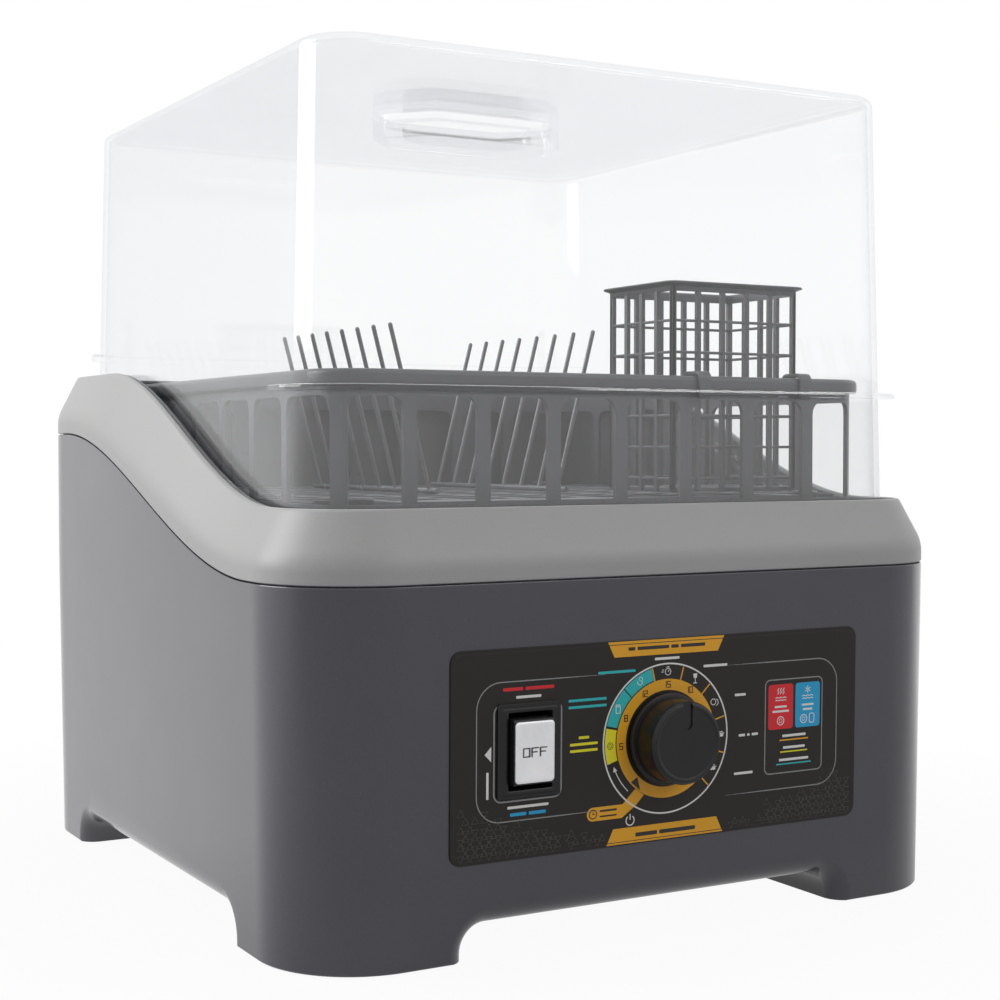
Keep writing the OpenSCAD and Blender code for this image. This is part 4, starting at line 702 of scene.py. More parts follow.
class Pattern(Tree):
    """A geometry tree with named inputs, which sets out what repeats."""

    def __init__(self, name, sizes):
        self.name, self.sizes = name, sizes
        self.group = bpy.data.node_groups.new(name, "GeometryNodeTree")
        self.group.interface.new_socket("Geometry", in_out="OUTPUT", socket_type="NodeSocketGeometry")
        kinds = {float: "NodeSocketFloat", int: "NodeSocketInt", tuple: "NodeSocketVector"}
        for key, value in sizes.items():
            self.group.interface.new_socket(key, in_out="INPUT",
                                            socket_type=kinds.get(type(value), "NodeSocketMaterial"))
        super().__init__(self.group)
        given = self.nodes.new("NodeGroupInput")
        self.ask = {socket.name: Value(self, socket) for socket in given.outputs if socket.name}

    def vector(self, x, y, z):
        return self.node("ShaderNodeCombineXYZ", None, x, y, z)

    def gather(self, *parts):
        made = self.nodes.new("GeometryNodeJoinGeometry")
        for part in reversed(parts):
            self.links.new(part.socket, made.inputs[0])
        return Value(self, made.outputs[0])

    def pipe(self, line, radius, sides, **more):
        """A round wire along a curve."""
        around = self.node("GeometryNodeCurvePrimitiveCircle", None, Resolution=sides, Radius=radius)
        return self.node("GeometryNodeCurveToMesh", None, line, around, **more)

    def close(self, geometry, material):
        real = self.node("GeometryNodeRealizeInstances", None, geometry)
        self.end("NodeGroupOutput", self.node("GeometryNodeSetMaterial", None, real, at={2: material}))

    def grow(self, **sizes):
        """Runs the tree with its sizes set and keeps the result as plain mesh."""
        piece = put(self.name, bpy.data.meshes.new(self.name))
        step = piece.modifiers.new("grow", "NODES")
        step.node_group = self.group
        for item in self.group.interface.items_tree:
            if item.in_out == "INPUT":
                step[item.identifier] = sizes.get(item.name, self.sizes[item.name])
        return settle(piece)


f = Finish("coated_wire")
wire_coat = f.surface(f.plain(
    f.blend(f.noise(14.0, 3.0, 0.6), (0.155, 0.157, 0.165), (0.20, 0.202, 0.21), 0.35, 0.65),
    f.fade(f.noise(6.0), 0.16, 0.28), Normal=f.bump(f.noise(1.2), 0.2, 0.03)))
rows = Pattern("tine_rows", {
    "Count": 8, "Pitch": 0.022, "Middle": 0.0375, "Foot": 0.043, "Tip": 0.068, "Foot height": 0.220,
    "Tip height": 0.3145, "Wire": 0.0013, "Rail": 0.0015, "Past the ends": 0.010, "Coat": wire_coat})
ask, parts = rows.ask, []
half_span = ask["Pitch"] * (ask["Count"] - 1) * 0.5
for side in (-1, 1):
    foot = rows.vector(ask["Foot"] * side, 0.0, ask["Foot height"])
    tip = rows.vector(ask["Tip"] * side, 0.0, ask["Tip height"])
    line = rows.node("GeometryNodeCurvePrimitiveLine", None, Start=foot, End=tip)
    shaft = rows.pipe(line, ask["Wire"], 14, Fill_Caps=True)
    ball = rows.node("GeometryNodeMeshUVSphere", None, Segments=14, Rings=8, Radius=ask["Wire"])
    ball = rows.node("GeometryNodeTransform", None, ball, Translation=tip)
    places = rows.node("GeometryNodeMeshLine", None, Count=ask["Count"],
                       Offset=rows.vector(0.0, ask["Pitch"], 0.0),
                       Start_Location=rows.vector(0.0, ask["Middle"] - half_span, 0.0))
    parts.append(rows.node("GeometryNodeInstanceOnPoints", None, places, Instance=rows.gather(shaft, ball)))
    ends = [rows.vector(ask["Foot"] * side, ask["Middle"] + (half_span + ask["Past the ends"]) * way,
                        ask["Foot height"]) for way in (-1, 1)]
    rail = rows.node("GeometryNodeCurvePrimitiveLine", None, Start=ends[0], End=ends[1])
    parts.append(rows.pipe(rail, ask["Rail"], 16, Fill_Caps=True))
rows.close(rows.gather(*parts), ask["Coat"])
tines = smooth(rows.grow(), 50.0)
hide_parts("plate_tines")
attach(tines, "rack")

# ---- Cutlery basket ----
# A tall open basket of the rack's plastic: flat upright bars, thin rings, a flared rim, a slatted
# floor, and two hooks over the rack's front rim.

basket_w, basket_d, basket_x, basket_cy, basket_top, basket_base = 84.0, 61.0, 80.0, -134.5, 334.0, 221.0
bar_row = Pattern("basket_bars", {
    "Size": (0.003, 0.0025, 0.1), "Start": (0.0, 0.0, 0.0), "Step": (0.0, 0.0, 0.0), "Count": 6,
    "Plastic": rack_plastic})
ask = bar_row.ask
cell = bar_row.node("GeometryNodeMeshCube", None, Size=ask["Size"])
places = bar_row.node("GeometryNodeMeshLine", None, Count=ask["Count"], Start_Location=ask["Start"],
                      Offset=ask["Step"])
bar_row.close(bar_row.node("GeometryNodeInstanceOnPoints", None, places, Instance=cell), ask["Plastic"])
tall, mid = basket_top - basket_base - 2, (basket_top + basket_base) / 2
ring_top, slat_z = basket_top - 20.8, basket_base + 1.2
bars = []
# Each row: the size of one bar, its first place about the basket's middle, the step on and the count.
for size, start, step, count in [row for s in (-1, 1) for row in (
        ((3.0, 2.5, tall), (-40.5, s * 29.25, mid), (16.2, 0, 0), 6),
        ((2.5, 3.0, tall), (s * 40.75, -29.0, mid), (0, 14.5, 0), 5),
        ((82.8, 1.5, 1.5), (0, s * 29.3, ring_top), (0, 0, -17), 6),
        ((1.5, 59.8, 1.5), (s * 40.8, 0, ring_top), (0, 0, -17), 6))] + [
        ((3.2, 60.6, 2.3), (-39.2, 0, slat_z), (15.68, 0, 0), 6),
        ((83.6, 3.2, 2.3), (0, -27.8, slat_z), (0, 13.9, 0), 5)]:
    bars.append(bar_row.grow(
        Size=tuple(v / 1000 for v in size), Step=tuple(v / 1000 for v in step), Count=count,
        Start=tuple((v + o) / 1000 for v, o in zip(start, (basket_x, basket_cy, 0)))))
bars = smooth(join("basket_bars", bars), 40.0, bevel=0.45, segments=2)


def basket_ring(inset, z):
    points, _ = outline(basket_w - 2 * inset, basket_d - 2 * inset, max(2.6 - inset, 0.8), 0.0, arc=6)
    return at_height(points + (basket_x, basket_cy), basket_top + z)


rim = smooth(new_object("basket_rim", *loft([basket_ring(*ring) for ring in (
    (2.4, -5.0), (0.3, -5.0), (0.0, -4.7), (-0.4, -2.6), (-3.6, -1.5), (-4.3, -1.2), (-4.5, -0.7),
    (-4.2, -0.2), (-3.6, 0.0), (1.4, 0.0), (2.2, -0.3), (2.5, -1.0))], closed=True)), 45.0)


def hook(x):
    """A flat hook bent over the rack's rim: its path in depth and height, swept as a strip."""
    back, front, top, foot = basket_cy - 29.2, rack_y - rack_d / 2 - 1.4, rack_top - 1.4, rack_top - 9.5
    path = [(back, rack_top - 6), (back, top)] + bend(back - 3, top, 3, 30, 90, 2)
    path += bend(front + 3, top, 3, 90, 180, 3) + [(front, foot)]
    path += [(front + 1.0 - math.cos(a), foot - 2.0 * math.sin(a)) for a in np.radians((45, 90))]
    rings = []
    for k, here in enumerate(path):
        ahead = np.array(path[min(k + 1, len(path) - 1)]) - np.array(path[max(k - 1, 0)])
        side = np.array((-ahead[1], ahead[0])) / np.linalg.norm(ahead) * 1.05
        rings.append(np.array([(x + sx * 3.8, here[0] + sn * side[0], here[1] + sn * side[1])
                               for sx, sn in ((-1, -1), (1, -1), (1, 1), (-1, 1))]))
    return smooth(new_object("hook", *loft(rings)), 45.0, bevel=0.5, segments=2, bevel_angle=60.0)


basket = join("cutlery_basket_frame", [bars, rim] + [hook(basket_x + x) for x in (-31, 37)])
dress(basket, rack_plastic)
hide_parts("cutlery_basket", "basket_walls", "basket_grid")
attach(basket, "basket")

# ---- Control panel ----
# A dark printed film on the leaning front wall. The print is ink only: a lattice of fine triangles, thin
# grey frames, the dial, small pictograms and a card of two tiles. Plain bars stand for the words.

tilt = math.atan(draft / (seam_low - 1.0))
front_face, timer_z = -body_d / 2, 99.0
switch_x, switch_z = -80.5, 100.0


def lean(points):
    """Moves points given as across, outward and height on the front wall to the object's frame."""
    out = []
    for x, away, z in points:
        along = (z - seam_low) / math.cos(tilt)
        out.append((x, front_face - away * math.cos(tilt) - along * math.sin(tilt),
                    seam_low - away * math.sin(tilt) + along * math.cos(tilt)))
    return np.array(out)


def rounded_box(x0, x1, z0, z1, r, steps=8):
    """Corners of a rounded rectangle, anticlockwise seen from the front."""
    return [point for x, z, start in (
        (x1 - r, z1 - r, 0), (x0 + r, z1 - r, 90), (x0 + r, z0 + r, 180), (x1 - r, z0 + r, 270))
        for point in bend(x, z, r, start, start + 90.0, steps)]


def layer(shape, away):
    return lean([(x, away, z) for x, z in shape])


panel = new_object("control_film", *loft([
    layer(rounded_box(-123 + i, 123 - i, 47.5 + i, 149.5 - i, 6.0 - i), away)
    for i, away in ((0.0, 0.0), (0.0, 0.62), (0.1, 0.76), (0.3, 0.80))]))
cut(panel, *[new_object("hole", *loft([layer(shape, away) for away in (-2.0, 3.0)]))
             for shape in (circle(0.0, timer_z, 17.5, 72), rounded_box(-95, -66, 81, 119, 1.0))])
smooth(panel, 40.0)
f = Finish("dark_printed_film")
grain, cloud = f.noise(0.5, 2.0, 0.6), f.noise(70.0, 3.0, 0.5)
tone = f.blend(cloud, (0.017, 0.015, 0.013), (0.021, 0.018, 0.016))
tone = f.mix(f.fade(grain, 0.0, 0.35, 0.55, 0.8), tone, (0.034, 0.031, 0.028))
dress(panel, f.surface(f.plain(tone, f.fade(cloud, 0.42, 0.48), Normal=f.bump(grain, 0.3, 0.02),
                               Specular_IOR_Level=0.3)))
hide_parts("control_panel")
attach(panel, "base")

# Each ink is one mesh of flat shapes lying just off the film.
inks = {"white": (0.90, 0.90, 0.88), "orange": (0.93, 0.45, 0.02), "teal": (0.03, 0.55, 0.57),
        "yellow": (0.93, 0.85, 0.02), "red": (0.80, 0.02, 0.03), "blue": (0.02, 0.42, 0.76),
        "grey": (0.32, 0.32, 0.32), "black": (0.012, 0.011, 0.010)}
white, orange, teal, yellow, red, blue, grey, black = inks
ink_shapes = {colour: [] for colour in inks}


def ink(colour, *shapes):
    ink_shapes[colour].extend(shapes)


def bar(x0, x1, z0, z1, r=0.0):
    return rounded_box(x0, x1, z0, z1, r, 4) if r else [(x1, z1), (x0, z1), (x0, z0), (x1, z0)]


def arc_band(x, z, r0, r1, start=0.0, turn=360.0):
    """Quads along a ring or an arc between two radii."""
    n = max(4, int(abs(turn) / 4))
    inner, outer = (bend(x, z, r, start, start + turn, n) for r in (r0, r1))
    return [[inner[i], outer[i], outer[i + 1], inner[i + 1]] for i in range(n)]


def stroke(points, width, closed=False):
    """Quads along a polyline, mitred."""
    pts = [np.array(p, float) for p in points]
    n, sides = len(pts), []
    for i, here in enumerate(pts):
        ways = [here - pts[i - 1]] if i or closed else []
        ways += [pts[(i + 1) % n] - here] if i < n - 1 or closed else []
        normals = [np.array((-w[1], w[0])) / (np.linalg.norm(w) or 1.0) for w in ways]
        mean = sum(normals) / len(normals)
        mean = mean / max(np.dot(mean, normals[0]), 0.35) * width / 2
        sides.append((tuple(here + mean), tuple(here - mean)))
    return [[*sides[i], *reversed(sides[(i + 1) % n])] for i in range(n if closed else n - 1)]


def frame_line(colour, x0, x1, z0, z1, r, width, steps=6):
    """An inked rounded rectangle's outline."""
    ink(colour, *stroke(rounded_box(x0, x1, z0, z1, r, steps), width, closed=True))


def digits(text, x, z, height, width=0.62, heavy=0.17):
    """Plain dial numbers drawn with straight strokes, centred on a point."""
    drawn = {"0": "abcdef", "1": "bc", "2": "abged", "5": "afgcd", "8": "abcdefg"}
    lines = {"a": (0, 2, 2, 2), "b": (2, 2, 1, 2), "c": (2, 2, 0, 1), "d": (0, 2, 0, 0), "e": (0, 0, 0, 1),
             "f": (0, 0, 1, 2), "g": (0, 2, 1, 1)}
    pen, shapes = height * heavy / 2, []
    for k, mark in enumerate(text):
        left = x + (k - (len(text) - 1) / 2) * (height * width + height * 0.28) - height * width / 2
        for x0, x1, z0, z1 in [lines[part] for part in drawn[mark]]:
            shapes.append(bar(left + height * width * x0 / 2 - pen, left + height * width * x1 / 2 + pen,
                              z - height / 2 + height * z0 / 2 - pen, z - height / 2 + height * z1 / 2 + pen))
    return shapes


def words(tone, x, z, *widths, thick=1.3, gap=1.4):
    """A row of plain bars in place of printed words, centred on a point."""
    left = x - (sum(widths) + gap * (len(widths) - 1)) / 2
    for width in widths:
        ink(tone, bar(left, left + width, z - thick / 2, z + thick / 2, 0.4))
        left += width + gap


def polar(angle, r):
    """A place on the dial."""
    return bend(0.0, timer_z, r, angle, angle, 0)[0]


# Thin grey frame: two halves with round corners that taper off towards the dial, and the film's edge.
for side in (-1, 1):
    half = [p for p in rounded_box(-109.0, 110.0, 66.4, 133.5, 13.0, 10) if p[0] * side > 60.0]
    half = half[11:] + half[:11] if side > 0 else half
    ends = [(side * 62.0, half[0][1]), (side * 62.0, half[-1][1])]
    ink(grey, *stroke([ends[0]] + half + [ends[1]], 0.55))
    for x, z in ends:
        for k in range(5):
            pen, far = 0.24 - 0.045 * k, x - side * 5.0
            ink(grey, bar(min(x, far), max(x, far), z - pen, z + pen))
            x = far
frame_line(black, -121.2, 121.2, 49.3, 147.7, 4.8, 0.35, 8)
frame_line(grey, -99.5, -62.0, 76.0, 122.5, 4.0, 0.8)
ink(white, [(-104.6, 99.5), (-101.0, 95.8), (-101.0, 103.2)])

# Banners over and under the dial, then bars where the words stood: round the switch, the dial, in the
# banners and on the clock's tab.
ink(orange, [(35.4, 149.2), (-35.4, 149.2), (-31.5, 141.5), (31.5, 141.5)])
ink(orange, [(31.5, 56.2), (-31.5, 56.2), (-35.4, 48.2), (35.4, 48.2)])
for tone, x, z, thick, *widths in (
        (red, switch_x, 129.8, 1.6, 11.0, 16.0), (white, switch_x, 125.8, 1.3, 14.0),
        (white, switch_x, 72.9, 1.3, 23.0), (blue, switch_x, 69.4, 1.6, 9.0, 9.5),
        (teal, -30.0, 134.4, 1.3, 22.0), (teal, -47.0, 121.8, 1.3, 22.0), (teal, -47.0, 118.5, 1.3, 22.0),
        (yellow, -49.0, 103.4, 1.3, 6.0), (yellow, -49.0, 100.2, 1.3, 16.0), (yellow, -49.0, 97.0, 1.3, 16.0),
        (white, 0.0, 139.4, 1.3, 15.0), (white, 30.0, 134.0, 1.3, 15.0), (white, 46.0, 117.8, 1.3, 7.0),
        (white, 51.5, 96.7, 1.3, 4.0, 1.6, 4.0), (white, 48.5, 77.0, 1.3, 12.0),
        (white, -103.0, 84.5, 13.0, 1.3), (black, 0.0, 145.3, 1.7, 4.0, 19.0, 4.5, 15.0),
        (black, 0.0, 52.1, 2.0, 13.0, 22.0), (black, -34.5, 66.1, 1.0, 10.0), (black, -34.5, 63.4, 0.8, 10.0)):
    words(tone, x, z, *widths, thick=thick)

# The dial: a white circle, a full orange ring that carries the black numbers, coloured sectors, orange
# marks between the cells, and the tab of the clock with its pointer.
for colour, *band in (
        (white, 37.3, 38.1), (orange, 24.4, 30.0), (teal, 30.6, 36.8, 105, 28.5),
        (teal, 30.6, 36.8, 134.5, 31.5), (yellow, 30.6, 36.8, 168, 28.5), (white, 33.4, 33.9, 205, 22)):
    ink(colour, *arc_band(0, timer_z, *band))
for angle in (104, 74, 44, 13.5, -16, -45):
    ink(orange, *stroke([polar(angle, 30.0), polar(angle, 36.9)], 0.7))
for text, angle in (("5", 184), ("8", 154), ("12", 121), ("15", 90), ("10", 60)):
    ink(black, *digits(text, *polar(angle, 27.2), 2.9))
ink(black, [polar(224, 29.4), polar(226, 25.0), polar(238, 29.4)])
ink(orange, [(-26.0, 68.2)] + bend(-43.6, 64.8, 3.4, 90, 270, 12)
    + [(-26.5, 61.4), (-18.0, 67.0), polar(244, 30.3), polar(232, 30.3)])
ink(black, *arc_band(-43.4, 64.8, 1.9, 2.4), *stroke([(-43.4, 66.2), (-43.4, 64.8), (-42.3, 64.8)], 0.4))
arrow_x, arrow_z = polar(203, 33.65)
c, s = math.cos(math.radians(20)), math.sin(math.radians(20))
ink(white, [(arrow_x + x * c - z * s, arrow_z + x * s + z * c)
            for x, z in ((-1.2, -1.1), (1.2, -1.1), (0, 1.5))])
ink(white, *arc_band(-21.5, 59.6, 2.1, 2.7, 125, 290), bar(-21.8, -21.2, 60.0, 62.9))


def picture(colour, angle, r, bars=(), rings=(), lines=()):
    """A small pictogram in the dial's cells, drawn about its own middle."""
    x, z = polar(angle, r)
    ink(colour, *[bar(x + x0, x + x1, z + z0, z + z1, *more) for x0, x1, z0, z1, *more in bars])
    for cx, cz, *band in rings:
        ink(colour, *arc_band(x + cx, z + cz, *band))
    for line in lines:
        ink(colour, *stroke([(x + cx, z + cz) for cx, cz in line], 0.4))


# A stopwatch, a goblet, two plates and two pots, and in the coloured sectors a bowl, a can and a plate.
picture(white, 89, 33.6, [(-0.9, 0.9, 2.2, 2.6), (-4.0, -2.6, -0.2, 0.2), (-3.6, -2.6, 0.8, 1.2)],
        [(0, 0, 1.5, 1.9)], [((0, 0), (0.8, 0.9))])
picture(white, 59, 33.8, [(-0.2, 0.2, -2.0, 0.4), (-1.2, 1.2, -2.4, -2.0)])
x, z = polar(59, 33.8)
ink(white, [(x + 1.3, z + 2.6), (x - 1.3, z + 2.6), (x - 0.9, z + 0.3), (x + 0.9, z + 0.3)])
picture(white, 29, 33.6, rings=[(-0.5, 0, 1.3, 1.7), (1.0, -0.3, 1.4, 1.8, -80, 160)])
for angle in (-1, -31):
    picture(white, angle, 33.6, [(-1.8, 1.8, -1.3, 0.7, 0.4), (-2.4, 2.4, 0.2, 0.6), (-1.5, 1.5, 1.0, 1.4)])
picture(white, 119, 33.7, rings=[(0, 0, 1.3, 1.7, 170, 200), (0.6, 1.4, 0.8, 1.1)])
picture(white, 150, 33.7, [(-1.2, 1.2, 1.0, 1.4)])
x, z = polar(150, 33.7)
frame_line(white, x - 1.2, x + 1.2, z - 2.1, z + 2.1, 0.5, 0.4, 3)
picture(black, 182, 33.7, rings=[(0, 0, 1.5, 1.8), (0, 0, 0.7, 0.95)])

# The card: grey outline, a red and a blue tile with plain signs, three underlined bars.
frame_line(grey, 62.3, 100.1, 74.7, 123.9, 3.0, 0.6)
for tone, x0, dish_at, lower in ((red, 64.3, 0.0, 11.0), (blue, 82.2, 2.6, 6.5)):
    ink(tone, bar(x0, x0 + 16.4, 97.8, 121.4, 1.6))
    mid = x0 + 8.2
    for k in (-1, 0, 1):
        steam = [(mid + 1.7 * k + x, z)
                 for x, z in ((-0.5, 116.2), (0.4, 117.2), (-0.4, 118.2), (0.5, 119.4))]
        flake = bend(mid, 117.6, 1.9, 60 * k + 30, 60 * k + 210, 1)
        ink(white, *stroke(steam if tone == red else flake, 0.45))
    for z in (114.2, 112.8):
        ink(white, *stroke([(mid - 3.6 + 1.2 * k, z + 0.4 * (k % 2)) for k in range(7)], 0.45))
    words(white, mid, 109.6, 8.0, thick=1.1)
    words(white, mid, 107.2, lower, thick=1.1)
    ink(white, *arc_band(mid - dish_at, 102.2, 1.9, 2.4), *arc_band(mid - dish_at, 102.2, 0.8, 1.1))
frame_line(white, 91.6, 94.8, 99.9, 104.7, 0.8, 0.45, 4)
for z, tone, width in ((92.4, orange, 17.0), (86.2, yellow, 16.0), (79.8, teal, 21.0)):
    words(white, 81.5, z + 1.7, width - 1.5, thick=1.3)
    ink(tone, bar(81.5 - width / 2 - 1.0, 81.5 + width / 2 + 1.0, z - 0.9, z - 0.2))


def printed(name, shapes, colour, level, body="base", roughness=0.38, edge=0.04):
    """One ink: its flat shapes stand a hair off the film and carry a thin edge, all in one mesh."""
    points, faces = [], []
    for shape in shapes:
        area = sum(a[0] * b[1] - b[0] * a[1] for a, b in zip(shape, shape[1:] + shape[:1]))
        loop = list(shape) if area > 0 else list(reversed(shape))
        base, n = len(points), len(loop)
        points += [*layer(loop, level), *layer(loop, level - edge)]
        faces += [tuple(range(base, base + n)), tuple(range(base + 2 * n - 1, base + n - 1, -1))]
        faces += [(base + i, base + n + i, base + n + (i + 1) % n, base + (i + 1) % n) for i in range(n)]
    mesh = bpy.data.meshes.new(name)
    mesh.from_pydata([tuple(c / 1000.0 for c in p) for p in points], [], faces)
    piece = put(name, mesh)
    f = Finish(name)
    speck = f.noise(0.35, 2.0, 0.6)
    mesh.materials.append(f.surface(f.plain(f.blend(speck, colour, tinted(colour, 0.86), 0.35, 0.75),
                                            f.fade(speck, roughness, roughness + 0.08))))
    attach(piece, body)


first_ink, second_ink = 0.83, 0.87
for colour, tone in inks.items():
    level = second_ink if colour in (white, black, grey) else first_ink
    printed(colour + "_ink", ink_shapes[colour], tone, level)

# The lattice: small outlined triangles in rows, thinned out by noise and fading from the lower corners.
f = Finish("lattice_ink")
lattice_coat = f.surface(f.plain(
    f.blend(f.noise(9.0), (0.062, 0.056, 0.051), (0.085, 0.078, 0.071), 0.35, 0.65),
    f.fade(f.noise(1.5), 0.40, 0.50)))
lattice = Pattern("triangle_lattice", {
    "Pitch": 0.00255, "Row pitch": 0.0040, "Columns": 93, "Rows": 6, "Foot": 0.0512, "Size": 0.0022,
    "Pen": 0.00026, "Bare half width": 0.036, "Seed": 7, "Coat": lattice_coat})
ask = lattice.ask
wide, high = ask["Pitch"] * (ask["Columns"] - 1), ask["Row pitch"] * (ask["Rows"] - 1)
grid = lattice.node("GeometryNodeMeshGrid", None, Size_X=wide, Size_Y=high, Vertices_X=ask["Columns"],
                    Vertices_Y=ask["Rows"])
here = lattice.node("GeometryNodeInputPosition")
from_middle = lattice.math("ABSOLUTE", lattice.node("ShaderNodeSeparateXYZ", None, here))
share_up = (lattice.node("ShaderNodeSeparateXYZ", None, here, out=1) + high * 0.5) / high
index = lattice.node("GeometryNodeInputIndex")
row, column = lattice.math("MODULO", index, ask["Rows"]), lattice.math("FLOOR", index / ask["Rows"])
parity = lattice.math("MODULO", row + column, 2.0)
chance = lattice.node("FunctionNodeRandomValue", {"data_type": "FLOAT"},
                      at={2: 0.0, 3: 1.0, 8: ask["Seed"]}, out=1)
density = from_middle / (wide * 0.5) * 2.6 - share_up * 1.7 - 0.45
clear_of_dial = lattice.math("GREATER_THAN", from_middle, ask["Bare half width"])
wanted = lattice.math("LESS_THAN", chance, density) * clear_of_dial
spread = lattice.node("GeometryNodeSetPosition", None, grid,
                      at={3: lattice.vector(0.0, parity * ask["Size"] * 0.5, 0.0)})
ring = lattice.node("GeometryNodeMeshCircle", None, Vertices=3, Radius=ask["Size"])
mark = lattice.node("GeometryNodeTransform", None,
                    lattice.pipe(lattice.node("GeometryNodeMeshToCurve", None, ring), ask["Pen"], 4),
                    Rotation=(0.0, 0.0, math.pi / 6), Scale=(1.0, 1.0, 0.3))
marks = lattice.node("GeometryNodeInstanceOnPoints", None, spread, wanted, mark,
                     Rotation=lattice.vector(0.0, 0.0, parity * math.pi))
marks = lattice.node("GeometryNodeTransform", None, marks, Translation=lattice.vector(
    0.0, ask["Foot"] + high * 0.5 - seam_low / 1000.0, first_ink / 1000.0))
marks = lattice.node("GeometryNodeTransform", None, marks, Rotation=(math.pi / 2 + tilt, 0.0, 0.0),
                     Translation=(0.0, front_face / 1000.0, seam_low / 1000.0))
lattice.close(marks, ask["Coat"])
lattice = lattice.grow()
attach(lattice, "base")

# ---- Timer knob ----
# A satin black cap pressed on the timer's shaft: a flat skirt, a smooth grip with a chamfered face and one
# pointer groove at its top.

knob_face, groove_half, groove_low = front_face - 18.5, 2.9, timer_z + 9.5
# The cap's half section, as radius and depth behind its face.
section = [(0.01, 0.45), (17.0, 0.45), (17.5, 0.30), (17.9, 0.05), (18.4, 0.0), (19.0, 0.0), (19.5, 0.30),
           (20.2, 1.0), (20.6, 1.6), (20.8, 2.4), (20.8, 14.8), (21.0, 15.1), (22.4, 15.2), (22.8, 15.4),
           (23.0, 15.8), (23.0, 17.1), (22.7, 17.4), (18.8, 17.4), (18.8, 9.0), (6.5, 9.0), (6.5, 17.4),
           (3.1, 17.4), (3.1, 5.0), (0.01, 5.0)]
knob = new_object("timer_knob_cap", *loft([
    np.array([(x, knob_face + depth, z) for x, z in circle(0.0, timer_z, r, 128)]) for r, depth in section]))
cut(knob, block(-groove_half, groove_half, knob_face - 1.0, knob_face + 1.15, groove_low, timer_z + 22.0),
    rod(groove_half, (0.0, knob_face - 1.0, groove_low), (0.0, knob_face + 1.15, groove_low), 40))
smooth(knob, 34.0, 0.12, 2, 50.0)


def satin_black(name, tone, roughness, grain=0.45):
    f = Finish(name)
    fine = f.noise(grain, 2.0, 0.6)
    colour = f.blend(fine, (tone, tone, tone * 1.06), (tone * 1.9, tone * 1.9, tone * 2.0), 0.4, 0.75)
    return f.surface(f.plain(colour, f.fade(f.noise(25.0, 3.0), roughness - 0.03, roughness + 0.04),
                             Specular_IOR_Level=0.35, Normal=f.bump(fine, 0.35, 0.03)))


dress(knob, satin_black("satin_knob_plastic", 0.011, 0.33))
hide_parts("timer_knob")
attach(knob, "knob")

# ---- Rocker switch ----
# A stepped black bezel snapped into the panel's window round its own case, a rocking button on two side
# pins, and a brushed metal plate stuck to the button's slightly dished face.


def switch_ring(half_w, half_h, away, r, steps=6, share=1.0):
    """One rounded rectangle about the switch's centre, at a distance out from the wall."""
    return layer([(switch_x + x * share, switch_z + z * share)
                  for x, z in rounded_box(-half_w, half_w, -half_h, half_h, r, steps)], away)


def across_switch(reach, pivot_depth=-4.5):
    """The two ends of a line through the button's pivot."""
    return lean([(switch_x + side * reach, pivot_depth, switch_z) for side in (-1, 1)])


bezel = new_object("rocker_bezel", *loft([switch_ring(*ring) for ring in (
    (17.5, 23.0, 0.8, 1.6), (17.5, 23.0, 1.9, 1.6), (17.1, 22.6, 2.4, 1.4), (15.6, 21.1, 2.4, 1.2),
    (15.2, 20.7, 3.0, 1.0), (14.9, 20.4, 3.2, 1.0), (13.0, 19.4, 3.2, 1.0), (12.3, 18.8, 2.9, 0.8),
    (12.05, 18.5, 2.3, 0.6), (12.05, 18.5, -17.5, 0.6), (8.0, 12.0, -17.5, 0.6), (8.0, 12.0, -20.0, 0.6),
    (14.3, 18.8, -20.0, 1.0), (14.3, 18.8, 0.8, 1.0))], closed=True))
cut(bezel, rod(2.25, *across_switch(13.85), 40))
smooth(bezel, 34.0)
dress(bezel, satin_black("bezel_plastic", 0.012, 0.24))
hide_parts("rocker_frame")
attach(bezel, "base")

# The button's side view, as depth behind its face and height, is drawn in a little towards its two ends.
profile = [(-10.0, -15.9), (-10.7, -15.5), (-11.1, -15.0), (-11.3, -14.4), (-11.15, -10.0), (-11.0, -5.0),
           (-10.95, 0.0), (-11.0, 5.0), (-11.15, 10.0), (-11.3, 14.4), (-11.1, 15.0), (-10.7, 15.5),
           (-10.0, 15.9), (-4.0, 16.0), (0.0, 15.0), (6.5, 8.0), (6.5, -8.0), (0.0, -15.0), (-4.0, -16.0)]
button = new_object("rocker_button_body", *loft([lean([
    (switch_x + x, -(y + inset if y < -5 else y - inset * (y > 0)) - 4.5, switch_z + z * (1 - inset / 16.0))
    for y, z in profile])
    for x, inset in ((-11.25, 0.5), (-11.1, 0.15), (-10.7, 0.0), (10.7, 0.0), (11.1, 0.15), (11.25, 0.5))]))
cut(button, rod(2.0, *across_switch(13.6), 40), operation="UNION")
smooth(button, 30.0)
dress(button, satin_black("button_plastic", 0.014, 0.27))
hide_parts("rocker_button")
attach(button, "rocker")

# The metal plate: rounded corners, rolled edges, following the button's dish.
plate_face, dish_depth = 7.44, 0.36
rings = [switch_ring(*ring, 8) for ring in (
    (10.9, 14.8, 6.45, 2.0), (10.9, 14.8, 6.95, 2.0), (10.75, 14.65, 7.25, 1.9), (10.4, 14.3, 7.40, 1.7),
    (9.6, 13.5, plate_face, 1.2))]
rings += [switch_ring(9.6, 13.5, plate_face - dish_depth * (1 - (1 - k / 6) ** 2), 1.2, 8, 1 - k / 6)
          for k in range(1, 7)]
points, faces = loft(rings, caps=False)
faces.append(tuple(range(len(rings[0]) - 1, -1, -1)))
plate = smooth(new_object("rocker_metal_plate", points, faces), 30.0)
f = Finish("brushed_switch_metal")
strands = f.node("ShaderNodeTexNoise", None, f.spot((9000.0, 1000.0, 180.0)), Scale=1.0, Detail=3.0,
                 Roughness=0.7)
